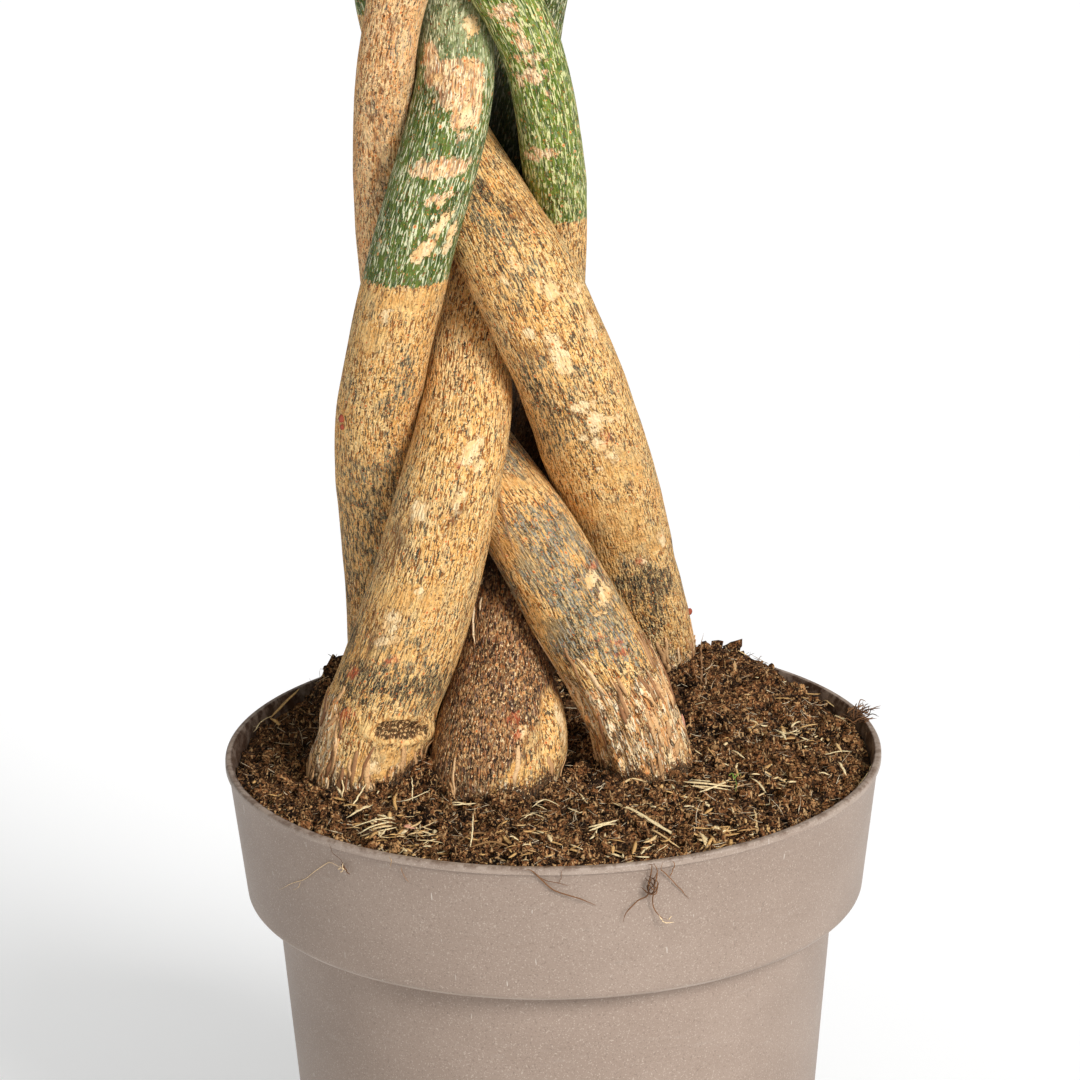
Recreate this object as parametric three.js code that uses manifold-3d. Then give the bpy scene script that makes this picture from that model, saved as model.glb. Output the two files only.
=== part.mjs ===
// Potted money tree: five trunks braided together in a nursery pot of soil, under a crown of leaves.
// Millimetres, +Z up. The origin is the middle of the pot's underside, and +Y is the plant's back.

import * as THREE from 'three';
import { mergeVertices } from 'three/addons/utils/BufferGeometryUtils.js';
import Module from 'manifold-3d';

const wasm = await Module();
wasm.setup();

// Driving dimensions

const gap = 0.3; // between two pieces that touch

const pot = {
  height: 240,
  rimRadius: 135, // outside of the lip
  lipHeight: 3.3,
  lipProud: 1.1,
  lipSlope: 0.5, // rise of the lip's underside
  rimBevel: [0.6, 1], // inside the rim, across and down
  bandTopRadius: 133.8, // the wide collar, just under the lip
  bandBaseRadius: 127.4,
  bandBase: 180, // height of the collar's lower edge
  bandRound: 4,
  ledgeBevel: [1.5, 1], // inside, where the collar's wall meets its ledge
  shoulderRadius: 115.4, // lower wall, where it meets the collar
  baseRadius: 100,
  baseRound: 3,
  wall: 2,
  floor: 2.5,
  sides: 48,
};

const drain = { holes: 8, radius: 5, circle: 70, sides: 10, cut: 10 };

const soil = {
  edge: 232.5, // height at the pot's wall
  middle: 241,
  fall: 5, // power of the radius with which it falls from one to the other
  ledgeBevel: 1.2,
  ripple: { height: 0.9, alongX: 13, alongY: 11, shift: 1 },
  rings: [0.9, 0.78, 0.62, 0.44, 0.22],
  mounds: [
    { x: 66, y: 84, height: 13, spread: 32 },
    { x: -72, y: 88, height: 12, spread: 26 },
    { x: -100, y: -10, height: -3, spread: 30 },
  ],
};

// Each trunk's way up through the lower braid, as [height, x, y, radius].
const ways = {
  left_front: [
    [150, -70, -20, 15], [185, -79, -23, 21], [215, -77.5, -23, 23], [240, -75, -23, 23],
    [262, -70.5, -22, 22], [285, -61.5, -20, 21.8], [312, -53, -18, 21.4], [347, -44.5, -16, 20.2],
    [380, -36.5, -8, 18.4], [415, -30, 10, 15.8], [450, -22.5, 23, 13.6], [490, -14, 28, 12.5],
    [545, -7, 27, 12.2],
  ],
  middle_front: [
    [150, -24, -40, 16], [205, -24, -44, 25], [240, -23, -44, 26], [256, -21.5, -42, 25.6],
    [275, -20, -36, 20.8], [292, -18, -24, 16.4], [318, -14, 14, 14.2], [345, -9, 42, 14],
    [375, -3.5, 50, 13.8], [410, -1.5, 42, 13], [440, -1.5, 28, 12.3], [470, -2, 10, 12],
    [490, -2, -1, 12], [516, -3, -7, 11.6], [545, -8, -9, 11.4],
  ],
  right_front: [
    [150, 44, -20, 14], [205, 42, -21, 17], [240, 36, -21, 17.6], [262, 30.5, -18, 17.8],
    [285, 20, -10, 18.2], [304, 8, -3, 18.4], [335, -10.5, 10, 17.6], [368, -35, 24, 16.4],
    [392, -50, 30, 15.4], [416, -57.5, 30, 14.2], [445, -60, 22, 13], [472, -60.5, 9, 12],
    [500, -60, -1, 11.2], [525, -58, -7, 10.9], [552, -55.5, -9, 10.8],
  ],
  right_back: [
    [150, 34, 72, 14], [185, 40, 81, 18], [215, 42, 87, 20], [240, 41, 86, 20],
    [265, 38.5, 76, 20.2], [293, 32, 57, 20.8], [327, 25.5, 35, 20.8], [350, 21, 20, 20.9],
    [370, 16, 10, 21], [390, 11, 2, 21], [410, 5, -5, 20.8], [434, -4.5, -8, 20.6],
    [455, -14, -6, 20], [475, -25.5, 3, 18.4], [495, -37, 14, 16.6], [515, -47, 21, 15],
    [535, -56, 24, 13.8], [555, -60.5, 20, 13],
  ],
  left_back: [
    [150, -56, 55, 14], [185, -64, 62, 17], [215, -67, 59, 19], [246, -66, 54, 18.8],
    [290, -66, 43, 18], [341, -66.5, 22, 17.6], [367, -66.5, 7, 17], [391, -64.4, -3, 16.4],
    [415, -60.6, -8, 16], [442, -55.5, -11, 16], [470, -49, -12, 15.9], [500, -41, -10, 15.6],
    [525, -36, -5, 15], [553, -33, 6, 14],
  ],
};

// Higher up the braid is regular: each trunk goes over two and under two, a fifth of a turn apart.
const braid = {
  from: 575,
  to: 860,
  turn: 500, // height of one whole turn
  even: 665, // height where the trunks' leads on the regular braid have faded out
  axisX: [-33, -27],
  axisY: 9,
  radius: [12.2, 9.6],
  width: 2.35, // half the braid's width and depth, in trunk radii
  depth: 1.45,
  guides: 20, // height between its guide points, which end above the cut tops
  beyond: 30,
  phase: { left_front: 194, middle_front: 266, right_front: 50, right_back: 338, left_back: 122 },
  lead: { left_front: -6, middle_front: -16, right_front: 2, right_back: 17, left_back: -6 },
  top: { left_front: 858, middle_front: 866, right_front: 850, right_back: 862, left_back: 846 },
};

const trunk = {
  foot: 150,
  head: 870,
  step: 10, // between levels
  ringEvery: 2, // levels
  sides: 10,
  clear: 2.2, // between neighbours, before their flat sides take some of it
  rounds: 400,
  sideways: 0.1, // how readily trunks give way across, against in depth
  push: 0.25, // share of the lack of room that each of two trunks makes up in a round
  most: 1.5, // longest step, against that lack
  soften: 0.5, // share by which a level follows its neighbours, in the first round
};

const shoot = {
  apart: 4.6, // from the middle of the trunk's cut top
  length: [275, 150], // the upright shoot and the leaning one on each trunk
  lean: [10, 42],
  radius: [3.9, 2.1],
  sides: 6,
  steps: 5,
  spread: 18, // degrees each side of the trunk's own direction
  upright: 0.45, // share of its length before it leans
  vary: [0.92, 1.08],
};

const leaf = {
  along: [[0.58, 0.75, 0.89, 1], [0.42, 0.66, 0.86, 1]], // places on the upright and the leaning shoot
  leaning: [-64, 58, -22, 20], // directions round a leaning shoot, in degrees
  spiral: 137.5, // degrees between leaves on an upright shoot
  shift: 100, // degrees from one upright shoot's first leaf to the next one's
  stalk: [175, 104], // length of the lowest leaf's stalk and of the top one's
  parts: [0.42, 0.58], // shares of the stalk that go up and go out
  bow: 0.55, // share of the stalk after which it bows over
  stalkTaper: 1.15, // radius at its foot, against the rest
  stalkRadius: 1.6,
  stalkSides: 5,
  stalkSteps: 4,
  joined: 0.3, // share of the stalk that may touch its own shoot's other leaves
  rise: [52, 70], // degrees, where the lowest and the top leaf's stalks leave the shoot
  ahead: [10, 36], // degrees, over the rest of their way
  tilt: [38, 14], // of the lowest leaf and the top one, in degrees
  length: [172, 136], // of the middle leaflet
  size: [0.9, 1.08],
  leaflets: [5, 7.4], // rounded down
  spread: 46, // degrees between the leaflets of a leaf with the fewest
  closer: 3, // how many degrees less for each one more
  slender: 0.148, // half-width over length
  widest: 1.35, // power of the length that moves the widest place outwards
  fullness: 0.8, // power of the outline
  shorter: 0.36, // how much a leaflet at the farthest angle falls short of the middle one
  farthest: 115, // degrees
  shorterPower: 1.3,
  curl: 0.1, // how much the tip's curl shortens it
  hubRadius: 6.5,
  thick: 1.6, // at the rib
  fold: 0.2,
  dip: 0.05,
  sag: 0.24,
  sagVary: [0.7, 1.3],
  stations: [0.42, 0.76],
  room: 5, // thickness of the space kept round a leaf that is being placed
  turns: [0, 9, -9, 18, -18, 27, -27, 36, -36, 48, -48, 60, -60, 75, -75, 90, -90],
  lifts: [0, 12, -12, 24, -24],
};

const materials = {
  pot: { color: '#a29081', roughness: 0.55, metalness: 0 },
  soil: { color: '#3b281c', roughness: 1, metalness: 0 },
  bark: { color: '#a48758', roughness: 0.85, metalness: 0 },
  leaf: { color: '#43762f', roughness: 0.5, metalness: 0 },
};

// Solids and meshes

const radians = THREE.MathUtils.degToRad;
const mix = THREE.MathUtils.lerp;

function solidOf(geometry) {
  const bare = geometry.clone();
  bare.deleteAttribute('normal');
  bare.deleteAttribute('uv');
  const merged = mergeVertices(bare, 1e-4);
  const triangles = [];
  for (let i = 0; i < merged.index.count; i += 3) {
    const [a, b, c] = merged.index.array.slice(i, i + 3);
    if (a !== b && b !== c && c !== a) triangles.push(a, b, c); // a lathe's triangles close up on its axis
  }
  return new wasm.Manifold(new wasm.Mesh({
    numProp: 3,
    vertProperties: new Float32Array(merged.attributes.position.array),
    triVerts: new Uint32Array(triangles),
  }));
}

function meshOf(name, solid, finish) {
  const { vertProperties, triVerts } = solid.getMesh();
  const geometry = new THREE.BufferGeometry();
  geometry.setAttribute('position', new THREE.BufferAttribute(vertProperties, 3));
  geometry.setIndex(new THREE.BufferAttribute(triVerts, 1));
  geometry.computeVertexNormals();
  const mesh = new THREE.Mesh(geometry, new THREE.MeshStandardMaterial(finish));
  mesh.name = name;
  return mesh;
}

function geometryOf(points, triangles) {
  const geometry = new THREE.BufferGeometry().setFromPoints(points);
  geometry.setIndex(triangles);
  return geometry;
}

// A closed skin over a stack of rings with the same number of points, anticlockwise from the last ring.
function loft(rings) {
  const sides = rings[0].length;
  const points = rings.flat();
  const triangles = [];
  for (let level = 0; level + 1 < rings.length; level += 1) {
    for (let side = 0; side < sides; side += 1) {
      const a = level * sides + side;
      const b = level * sides + (side + 1) % sides;
      triangles.push(a, b, b + sides, a, b + sides, a + sides);
    }
  }
  const last = points.length - sides;
  for (let side = 1; side + 1 < sides; side += 1) {
    triangles.push(0, side + 1, side);
    triangles.push(last, last + side, last + side + 1);
  }
  return geometryOf(points, triangles);
}

// A round tube along a curve, tapered from one radius to the other, from a share of its length on.
function tube(curve, radii, sides, steps, from = 0) {
  const rings = [];
  for (let step = 0; step <= steps; step += 1) {
    const centre = curve.getPoint(mix(from, 1, step / steps));
    const way = curve.getTangent(mix(from, 1, step / steps));
    const across = new THREE.Vector3(-way.y, way.x, 0).normalize();
    const up = new THREE.Vector3().crossVectors(way, across);
    const radius = mix(radii[0], radii[1], step / steps);
    const ring = [];
    for (let side = 0; side < sides; side += 1) {
      const angle = 2 * Math.PI * side / sides;
      ring.push(centre.clone().addScaledVector(across, radius * Math.cos(angle))
        .addScaledVector(up, radius * Math.sin(angle)));
    }
    rings.push(ring);
  }
  return loft(rings);
}

// Pot

function lathe(path) {
  return new THREE.LatheGeometry(path.getPoints(1), pot.sides).rotateX(Math.PI / 2);
}

function potWall() {
  const path = new THREE.Path();
  const lipBase = pot.height - pot.lipHeight;
  const innerRim = pot.bandTopRadius - pot.wall;
  const right = Math.PI / 2;
  path.moveTo(0, 0);
  path.lineTo(pot.baseRadius - pot.baseRound, 0);
  path.absarc(pot.baseRadius - pot.baseRound, pot.baseRound, pot.baseRound, -right, 0);
  path.lineTo(pot.shoulderRadius, pot.bandBase);
  path.absarc(pot.bandBaseRadius - pot.bandRound, pot.bandBase + pot.bandRound, pot.bandRound, -right, 0);
  path.lineTo(pot.bandTopRadius, lipBase);
  path.lineTo(pot.rimRadius, lipBase + pot.lipSlope);
  path.absarc(pot.rimRadius - pot.lipProud, pot.height - pot.lipProud, pot.lipProud, 0, right);
  path.lineTo(innerRim + pot.rimBevel[0], pot.height);
  path.lineTo(innerRim, pot.height - pot.rimBevel[1]);
  path.lineTo(pot.bandBaseRadius - pot.wall, pot.bandBase + pot.wall + pot.ledgeBevel[1]);
  path.lineTo(pot.bandBaseRadius - pot.wall - pot.ledgeBevel[0], pot.bandBase + pot.wall);
  path.lineTo(pot.shoulderRadius - pot.wall, pot.bandBase + pot.wall);
  path.lineTo(pot.baseRadius - pot.wall, pot.floor);
  path.lineTo(0, pot.floor);
  return solidOf(lathe(path));
}

function drainHoles() {
  const post = new THREE.CylinderGeometry(drain.radius, drain.radius, drain.cut, drain.sides);
  post.rotateX(Math.PI / 2);
  const holes = [];
  for (let hole = 0; hole < drain.holes; hole += 1) {
    const angle = 2 * Math.PI * (hole + 0.5) / drain.holes;
    const [x, y] = [drain.circle * Math.cos(angle), drain.circle * Math.sin(angle)];
    holes.push(solidOf(post.clone().translate(x, y, 0)));
  }
  return wasm.Manifold.union(holes);
}

// Soil

function bandInside(height) {
  const low = pot.bandBase + pot.wall + pot.ledgeBevel[1];
  const part = (height - low) / (pot.height - pot.rimBevel[1] - low);
  return mix(pot.bandBaseRadius, pot.bandTopRadius, part) - pot.wall;
}

function soilHeight(x, y) {
  const { ripple } = soil;
  const reach = Math.min(1, Math.hypot(x, y) / (pot.bandTopRadius - pot.wall));
  let height = mix(soil.middle, soil.edge, reach ** soil.fall);
  height += ripple.height * Math.sin(x / ripple.alongX) * Math.cos(y / ripple.alongY + ripple.shift);
  for (const mound of soil.mounds) {
    const away = Math.hypot(x - mound.x, y - mound.y) / mound.spread;
    height += mound.height * Math.exp(-away * away);
  }
  return height;
}

function soilFill() {
  const ledge = pot.bandBase + pot.wall + gap;
  const edgeRadius = bandInside(soil.edge) - 2 * gap;
  const path = new THREE.Path();
  path.moveTo(0, pot.floor + gap);
  path.lineTo(pot.baseRadius - pot.wall - gap, pot.floor + gap);
  path.lineTo(pot.shoulderRadius - pot.wall - gap, ledge);
  path.lineTo(pot.bandBaseRadius - pot.wall - pot.ledgeBevel[0] - 2 * gap, ledge);
  path.lineTo(pot.bandBaseRadius - pot.wall - 2 * gap, ledge + soil.ledgeBevel);
  path.lineTo(edgeRadius, soil.edge);
  for (const ring of soil.rings) path.lineTo(edgeRadius * ring, soil.middle);
  path.lineTo(0, soil.middle);
  const geometry = lathe(path);
  const place = geometry.attributes.position;
  for (let i = 0; i < place.count; i += 1) {
    if (place.getZ(i) >= soil.edge - 0.01) place.setZ(i, soilHeight(place.getX(i), place.getY(i)));
  }
  return solidOf(geometry);
}

// Trunks

function braidPoint(name, height) {
  const part = (height - braid.from) / (braid.to - braid.from);
  const radius = mix(braid.radius[0], braid.radius[1], part);
  const fading = Math.max(0, (braid.even - height) / (braid.even - braid.from)) ** 2;
  const turned = 360 * (height - braid.from) / braid.turn;
  const angle = radians(braid.phase[name] + turned + fading * braid.lead[name]);
  return [
    height,
    mix(braid.axisX[0], braid.axisX[1], part) - braid.width * radius * Math.cos(angle),
    braid.axisY - braid.depth * radius * Math.sin(2 * angle),
    radius,
  ];
}

// A smooth line through the points of a way, read at each level: a cubic between two neighbours.
function trackOf(points) {
  const slope = points.map((point, i) => {
    const before = points[Math.max(0, i - 1)];
    const after = points[Math.min(points.length - 1, i + 1)];
    return point.map((value, n) => (after[n] - before[n]) / (after[0] - before[0]));
  });
  const track = [];
  let i = 0;
  for (let height = trunk.foot; height <= trunk.head; height += trunk.step) {
    while (points[i + 1][0] < height) i += 1;
    const [low, high] = [points[i], points[i + 1]];
    const span = high[0] - low[0];
    const t = (height - low[0]) / span;
    const read = (n) => (2 * t ** 3 - 3 * t ** 2 + 1) * low[n]
      + (t ** 3 - 2 * t ** 2 + t) * span * slope[i][n]
      + (3 * t ** 2 - 2 * t ** 3) * high[n] + (t ** 3 - t ** 2) * span * slope[i + 1][n];
    track.push({ z: height, x: read(1), y: read(2), radius: read(3) });
  }
  return track;
}

function slopesOf(track) {
  return track.map((_, i) => {
    const before = track[Math.max(0, i - 1)];
    const after = track[Math.min(track.length - 1, i + 1)];
    const rise = after.z - before.z;
    return { x: (after.x - before.x) / rise, y: (after.y - before.y) / rise };
  });
}

// Trunks that press on each other give way, mostly in depth, until all of them are clear.
function settle(tracks) {
  const start = tracks.map((track) => track.map((at) => ({ ...at })));
  for (let round = 0; round < trunk.rounds; round += 1) {
    const slopes = tracks.map(slopesOf);
    const moves = tracks.map((track) => track.map(() => ({ x: 0, y: 0 })));
    for (let one = 0; one < tracks.length; one += 1) {
      for (let two = one + 1; two < tracks.length; two += 1) {
        for (let i = 0; i < tracks[one].length; i += 1) {
          push(tracks, slopes, moves, one, two, i);
        }
      }
    }
    tracks.forEach((track, n) => track.forEach((at, i) => {
      at.x += moves[n][i].x;
      at.y += moves[n][i].y;
    }));
    const share = trunk.soften * (1 - round / trunk.rounds);
    tracks.forEach((track, n) => smooth(track, start[n], share));
  }
}

function push(tracks, slopes, moves, one, two, i) {
  const [a, b] = [tracks[one][i], tracks[two][i]];
  const apart = Math.hypot(b.x - a.x, b.y - a.y);
  const way = { x: (b.x - a.x) / apart, y: (b.y - a.y) / apart };
  const reach = (n, at) => at.radius * Math.hypot(1, slopes[n][i].x * way.x + slopes[n][i].y * way.y);
  const lack = reach(one, a) + reach(two, b) + trunk.clear - apart;
  if (lack <= 0) return;
  const along = trunk.sideways * way.x ** 2 + way.y ** 2;
  const step = {
    x: THREE.MathUtils.clamp(trunk.sideways * way.x / along, -trunk.most, trunk.most),
    y: THREE.MathUtils.clamp(way.y / along, -trunk.most, trunk.most),
  };
  moves[one][i].x -= trunk.push * lack * step.x;
  moves[one][i].y -= trunk.push * lack * step.y;
  moves[two][i].x += trunk.push * lack * step.x;
  moves[two][i].y += trunk.push * lack * step.y;
}

function smooth(track, start, share) {
  const off = track.map((at, i) => ({ x: at.x - start[i].x, y: at.y - start[i].y }));
  for (let i = 1; i + 1 < track.length; i += 1) {
    for (const axis of ['x', 'y']) {
      const soft = 0.25 * off[i - 1][axis] + 0.5 * off[i][axis] + 0.25 * off[i + 1][axis];
      track[i][axis] = start[i][axis] + mix(off[i][axis], soft, share);
    }
  }
}

// The trunk's level section: a circle across its own line, so longer along its slope.
function trunkRing(at, slope, z, extra) {
  const steep = Math.hypot(slope.x, slope.y);
  const way = steep > 0 ? { x: slope.x / steep, y: slope.y / steep } : { x: 1, y: 0 };
  const stretch = Math.hypot(1, steep) - 1;
  const ring = [];
  for (let side = 0; side < trunk.sides; side += 1) {
    const angle = 2 * Math.PI * side / trunk.sides;
    const [x, y] = [Math.cos(angle), Math.sin(angle)];
    const more = stretch * (x * way.x + y * way.y);
    const radius = at.radius + extra;
    ring.push(new THREE.Vector3(at.x + radius * (x + more * way.x), at.y + radius * (y + more * way.y), z));
  }
  return ring;
}

function trunkAt(track, height) {
  const place = (height - trunk.foot) / trunk.step;
  const i = Math.floor(place);
  const t = place - i;
  const [low, high] = [track[i], track[i + 1]];
  return { x: mix(low.x, high.x, t), y: mix(low.y, high.y, t), radius: mix(low.radius, high.radius, t) };
}

function trunkSolid(track, top, extra = 0) {
  const slopes = slopesOf(track);
  const rings = [];
  for (let i = 0; track[i].z < top - trunk.step; i += trunk.ringEvery) {
    const z = i === 0 ? track[i].z - extra : track[i].z;
    rings.push(trunkRing(track[i], slopes[i], z, extra));
  }
  const last = Math.floor((top - trunk.foot) / trunk.step);
  rings.push(trunkRing(trunkAt(track, top), slopes[last], top, extra));
  return solidOf(loft(rings));
}

// Leaves

// Numbers that look random and are the same each time: each is the last times a factor, modulo a prime.
const random = { number: 41, factor: 16807, prime: 2147483647 };

function draw([low, high]) {
  random.number = (random.number * random.factor) % random.prime;
  return mix(low, high, random.number / random.prime);
}

function direction(azimuth, elevation) {
  const [a, e] = [radians(azimuth), radians(elevation)];
  return new THREE.Vector3(Math.cos(a) * Math.cos(e), Math.sin(a) * Math.cos(e), Math.sin(e));
}

// A leaflet's half-width at a share of its length, against its widest.
const leafletWidth = (s) => Math.sin(Math.PI * s ** leaf.widest) ** leaf.fullness;

// One blade cut into leaflets that meet at the stalk: its edges are sharp and its ribs are thick.
function bladeGeometry({ hub, out, face, length, leaflets, sag }, thick) {
  const side = new THREE.Vector3().crossVectors(face, out);
  const spread = leaf.spread - leaf.closer * (leaflets - leaf.leaflets[0]);
  const points = [];
  const triangles = [];
  const add = (point) => points.push(point) - 1;
  const bearing = (angle) => out.clone().multiplyScalar(Math.cos(angle))
    .addScaledVector(side, Math.sin(angle));
  const ribPair = (point) => [
    add(point.clone().addScaledVector(face, thick / 2)),
    add(point.clone().addScaledVector(face, -thick / 2)),
  ];
  const both = (a, b, c) => {
    const pick = (corner, n) => (Array.isArray(corner) ? corner[n] : corner);
    triangles.push(pick(a, 0), pick(b, 0), pick(c, 0), pick(a, 1), pick(c, 1), pick(b, 1));
  };
  const middle = ribPair(hub);
  const corner = (j) => add(hub.clone()
    .addScaledVector(bearing(radians((j - leaflets / 2) * spread)), leaf.hubRadius));
  const first = corner(0);
  let before = first;
  for (let j = 0; j < leaflets; j += 1) {
    const angle = radians((j - (leaflets - 1) / 2) * spread);
    const way = bearing(angle);
    const across = new THREE.Vector3().crossVectors(face, way);
    const aside = Math.abs(angle / radians(leaf.farthest));
    const long = length * (1 - leaf.shorter * aside ** leaf.shorterPower);
    const rib = (s) => hub.clone().addScaledVector(way, long * s * (1 - leaf.curl * s * s))
      .addScaledVector(face, -long * (leaf.dip * s + sag * s * s));
    const edge = (s, hand) => {
      const wide = leaf.slender * long * leafletWidth(s);
      return add(rib(s).addScaledVector(across, hand * wide).addScaledVector(face, leaf.fold * wide));
    };
    const [s1, s2] = leaf.stations;
    const [m1, m2, tip] = [ribPair(rib(s1)), ribPair(rib(s2)), add(rib(1))];
    const [r1, r2, l2, l1] = [edge(s1, -1), edge(s2, -1), edge(s2, 1), edge(s1, 1)];
    const after = corner(j + 1);
    both(middle, before, r1);
    both(middle, r1, m1);
    both(m1, r1, r2);
    both(m1, r2, m2);
    both(m2, r2, tip);
    both(m2, tip, l2);
    both(m1, m2, l2);
    both(m1, l2, l1);
    both(middle, m1, l1);
    both(middle, l1, after);
    before = after;
  }
  both(middle, before, first);
  return geometryOf(points, triangles);
}

function leafSolid(plan, room = 0, from = 0) {
  const radius = leaf.stalkRadius + room / 2;
  const radii = [radius * leaf.stalkTaper, radius];
  const stalk = tube(plan.stalk, radii, leaf.stalkSides, leaf.stalkSteps, from);
  return wasm.Manifold.union(solidOf(bladeGeometry(plan, leaf.thick + room)), solidOf(stalk));
}

function leafPlan(origin, order, azimuth, lift, size) {
  const reach = mix(leaf.stalk[0], leaf.stalk[1], order) * size;
  const rise = direction(azimuth, mix(leaf.rise[0], leaf.rise[1], order) + lift);
  const ahead = direction(azimuth, mix(leaf.ahead[0], leaf.ahead[1], order) + lift);
  const hub = origin.clone().addScaledVector(rise, leaf.parts[0] * reach)
    .addScaledVector(ahead, leaf.parts[1] * reach);
  const tilt = mix(leaf.tilt[0], leaf.tilt[1], order) - lift;
  const out = direction(azimuth, -tilt);
  const face = direction(azimuth, 90 - tilt);
  const bow = origin.clone().addScaledVector(rise, leaf.bow * reach);
  const joint = hub.clone().addScaledVector(out, -leaf.stalkRadius);
  const stalk = new THREE.QuadraticBezierCurve3(origin, bow, joint);
  return { hub, out, face, stalk, length: mix(leaf.length[0], leaf.length[1], order) * size };
}

// A leaf turns or lifts until it is clear of all the others; one that can't be is left off.
function placeLeaf(origin, order, azimuth, others, siblings) {
  const size = draw(leaf.size);
  const leaflets = Math.floor(draw(leaf.leaflets));
  const sag = leaf.sag * draw(leaf.sagVary);
  for (const lift of leaf.lifts) {
    for (const turn of leaf.turns) {
      const plan = { ...leafPlan(origin, order, azimuth + turn, lift, size), leaflets, sag };
      const whole = leafSolid(plan, leaf.room);
      const outer = leafSolid(plan, leaf.room, leaf.joined);
      const clear = others.every((other) => whole.intersect(other).isEmpty())
        && siblings.every((sibling) => outer.intersect(sibling).isEmpty());
      if (clear) return leafSolid(plan);
    }
  }
  return null;
}

// Shoots

// A shoot starts upright, so it stands square on the trunk's cut top, and then leans its own way.
function shootCurve(foot, azimuth, kind) {
  const long = shoot.length[kind] * draw(shoot.vary);
  const lean = direction(azimuth, 90 - shoot.lean[kind]);
  const up = new THREE.Vector3(0, 0, 1);
  const bend = foot.clone().addScaledVector(up, shoot.upright * long);
  return new THREE.QuadraticBezierCurve3(foot, bend, foot.clone().addScaledVector(lean, long));
}

// Two shoots stand side by side on each trunk's cut top, and the trunks' own directions are an even round.
function planShoots(tops) {
  const middle = new THREE.Vector3();
  tops.forEach((top) => middle.addScaledVector(top, 1 / tops.length));
  const bearing = (top) => Math.atan2(top.y - middle.y, top.x - middle.x);
  const round = [...tops].sort((a, b) => bearing(a) - bearing(b));
  const first = THREE.MathUtils.radToDeg(bearing(round[0]));
  const shoots = [];
  round.forEach((top, n) => {
    const outward = first + 360 / tops.length * n;
    for (const kind of [0, 1]) {
      const hand = kind ? 1 : -1;
      const azimuth = outward + hand * shoot.spread;
      const foot = top.clone().addScaledVector(direction(outward + hand * 90, 0), shoot.apart);
      foot.z += gap;
      const curve = shootCurve(foot, azimuth, kind);
      const stem = solidOf(tube(curve, shoot.radius, shoot.sides, shoot.steps));
      shoots.push({ trunk: n, azimuth, kind, curve, stem, leaves: [] });
    }
  });
  return shoots;
}

function growLeaves(shoots) {
  const last = leaf.along[0].length - 1;
  for (let order = last; order >= 0; order -= 1) {
    for (const one of shoots) {
      const others = shoots.filter((other) => other !== one)
        .flatMap((other) => [other.stem, ...other.leaves]);
      const siblings = [one.stem, ...one.leaves];
      const origin = one.curve.getPoint(leaf.along[one.kind][order]);
      const turn = one.kind ? leaf.leaning[order] : leaf.spiral * order + leaf.shift * one.trunk;
      const grown = placeLeaf(origin, order / last, one.azimuth + turn, others, siblings);
      if (grown) one.leaves.push(grown);
    }
  }
}

// Assembly

const tree = new THREE.Group();
const names = Object.keys(ways);
const upper = (name) => {
  const points = [];
  const end = trunk.head + braid.beyond;
  for (let height = braid.from; height < end; height += braid.guides) points.push(braidPoint(name, height));
  return points;
};
const tracks = names.map((name) => trackOf([...ways[name], ...upper(name)]));
settle(tracks);

tree.add(meshOf('pot', potWall().subtract(drainHoles()), materials.pot));

const holes = names.map((name, n) => trunkSolid(tracks[n], braid.top[name], gap));
tree.add(meshOf('soil', soilFill().subtract(wasm.Manifold.union(holes)), materials.soil));

names.forEach((name, n) => {
  tree.add(meshOf(`trunk_${name}`, trunkSolid(tracks[n], braid.top[name]), materials.bark));
});

const shoots = planShoots(names.map((name, n) => {
  const at = trunkAt(tracks[n], braid.top[name]);
  return new THREE.Vector3(at.x, at.y, braid.top[name]);
}));
growLeaves(shoots);
shoots.forEach(({ stem, leaves }, n) => {
  tree.add(meshOf(`leafy_shoot_${n + 1}`, wasm.Manifold.union([stem, ...leaves]), materials.leaf));
});

export default tree;
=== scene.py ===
# A money tree of five braided trunks in a nursery pot. Lengths are millimetres until a mesh is made.
import math
import bpy
import numpy as np
from mathutils import Matrix, Vector
from mathutils.kdtree import KDTree


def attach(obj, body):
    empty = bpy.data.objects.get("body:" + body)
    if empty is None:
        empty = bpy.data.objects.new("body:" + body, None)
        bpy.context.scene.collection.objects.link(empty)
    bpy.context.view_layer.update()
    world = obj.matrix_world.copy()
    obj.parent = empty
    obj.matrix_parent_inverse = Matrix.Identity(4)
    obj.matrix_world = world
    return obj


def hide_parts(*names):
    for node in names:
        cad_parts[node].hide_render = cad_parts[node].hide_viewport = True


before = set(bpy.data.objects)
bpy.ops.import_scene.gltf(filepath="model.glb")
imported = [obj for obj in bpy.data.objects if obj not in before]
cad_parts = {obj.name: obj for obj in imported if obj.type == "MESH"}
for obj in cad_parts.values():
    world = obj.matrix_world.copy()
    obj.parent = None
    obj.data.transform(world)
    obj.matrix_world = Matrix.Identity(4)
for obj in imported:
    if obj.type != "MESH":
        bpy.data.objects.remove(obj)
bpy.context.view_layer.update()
print("frame loaded")


def addObject(name, data):
    made = bpy.data.objects.new(name, data)
    bpy.context.scene.collection.objects.link(made)
    return made


# Camera: it stands where the pot's rim, collar and walls look as they do in the photo

view = {
    "place": (0.0, -2.24905, 1.07772),  # metres
    "ahead": (-0.00174949, 0.94896439, -0.31537837),
    "roll": -0.0148206,  # radians
    "lens": 194.07, "sensor": 36.0, "photo": 1080,
}


def cameraAxes():
    # right and up are square to the direction ahead, and both are turned by the roll
    ahead = Vector(view["ahead"]).normalized()
    level = ahead.cross(Vector((0, 0, 1))).normalized()
    upright = level.cross(ahead)
    turned, lifted = math.cos(view["roll"]), math.sin(view["roll"])
    return level * turned + upright * lifted, upright * turned - level * lifted, ahead


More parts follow.
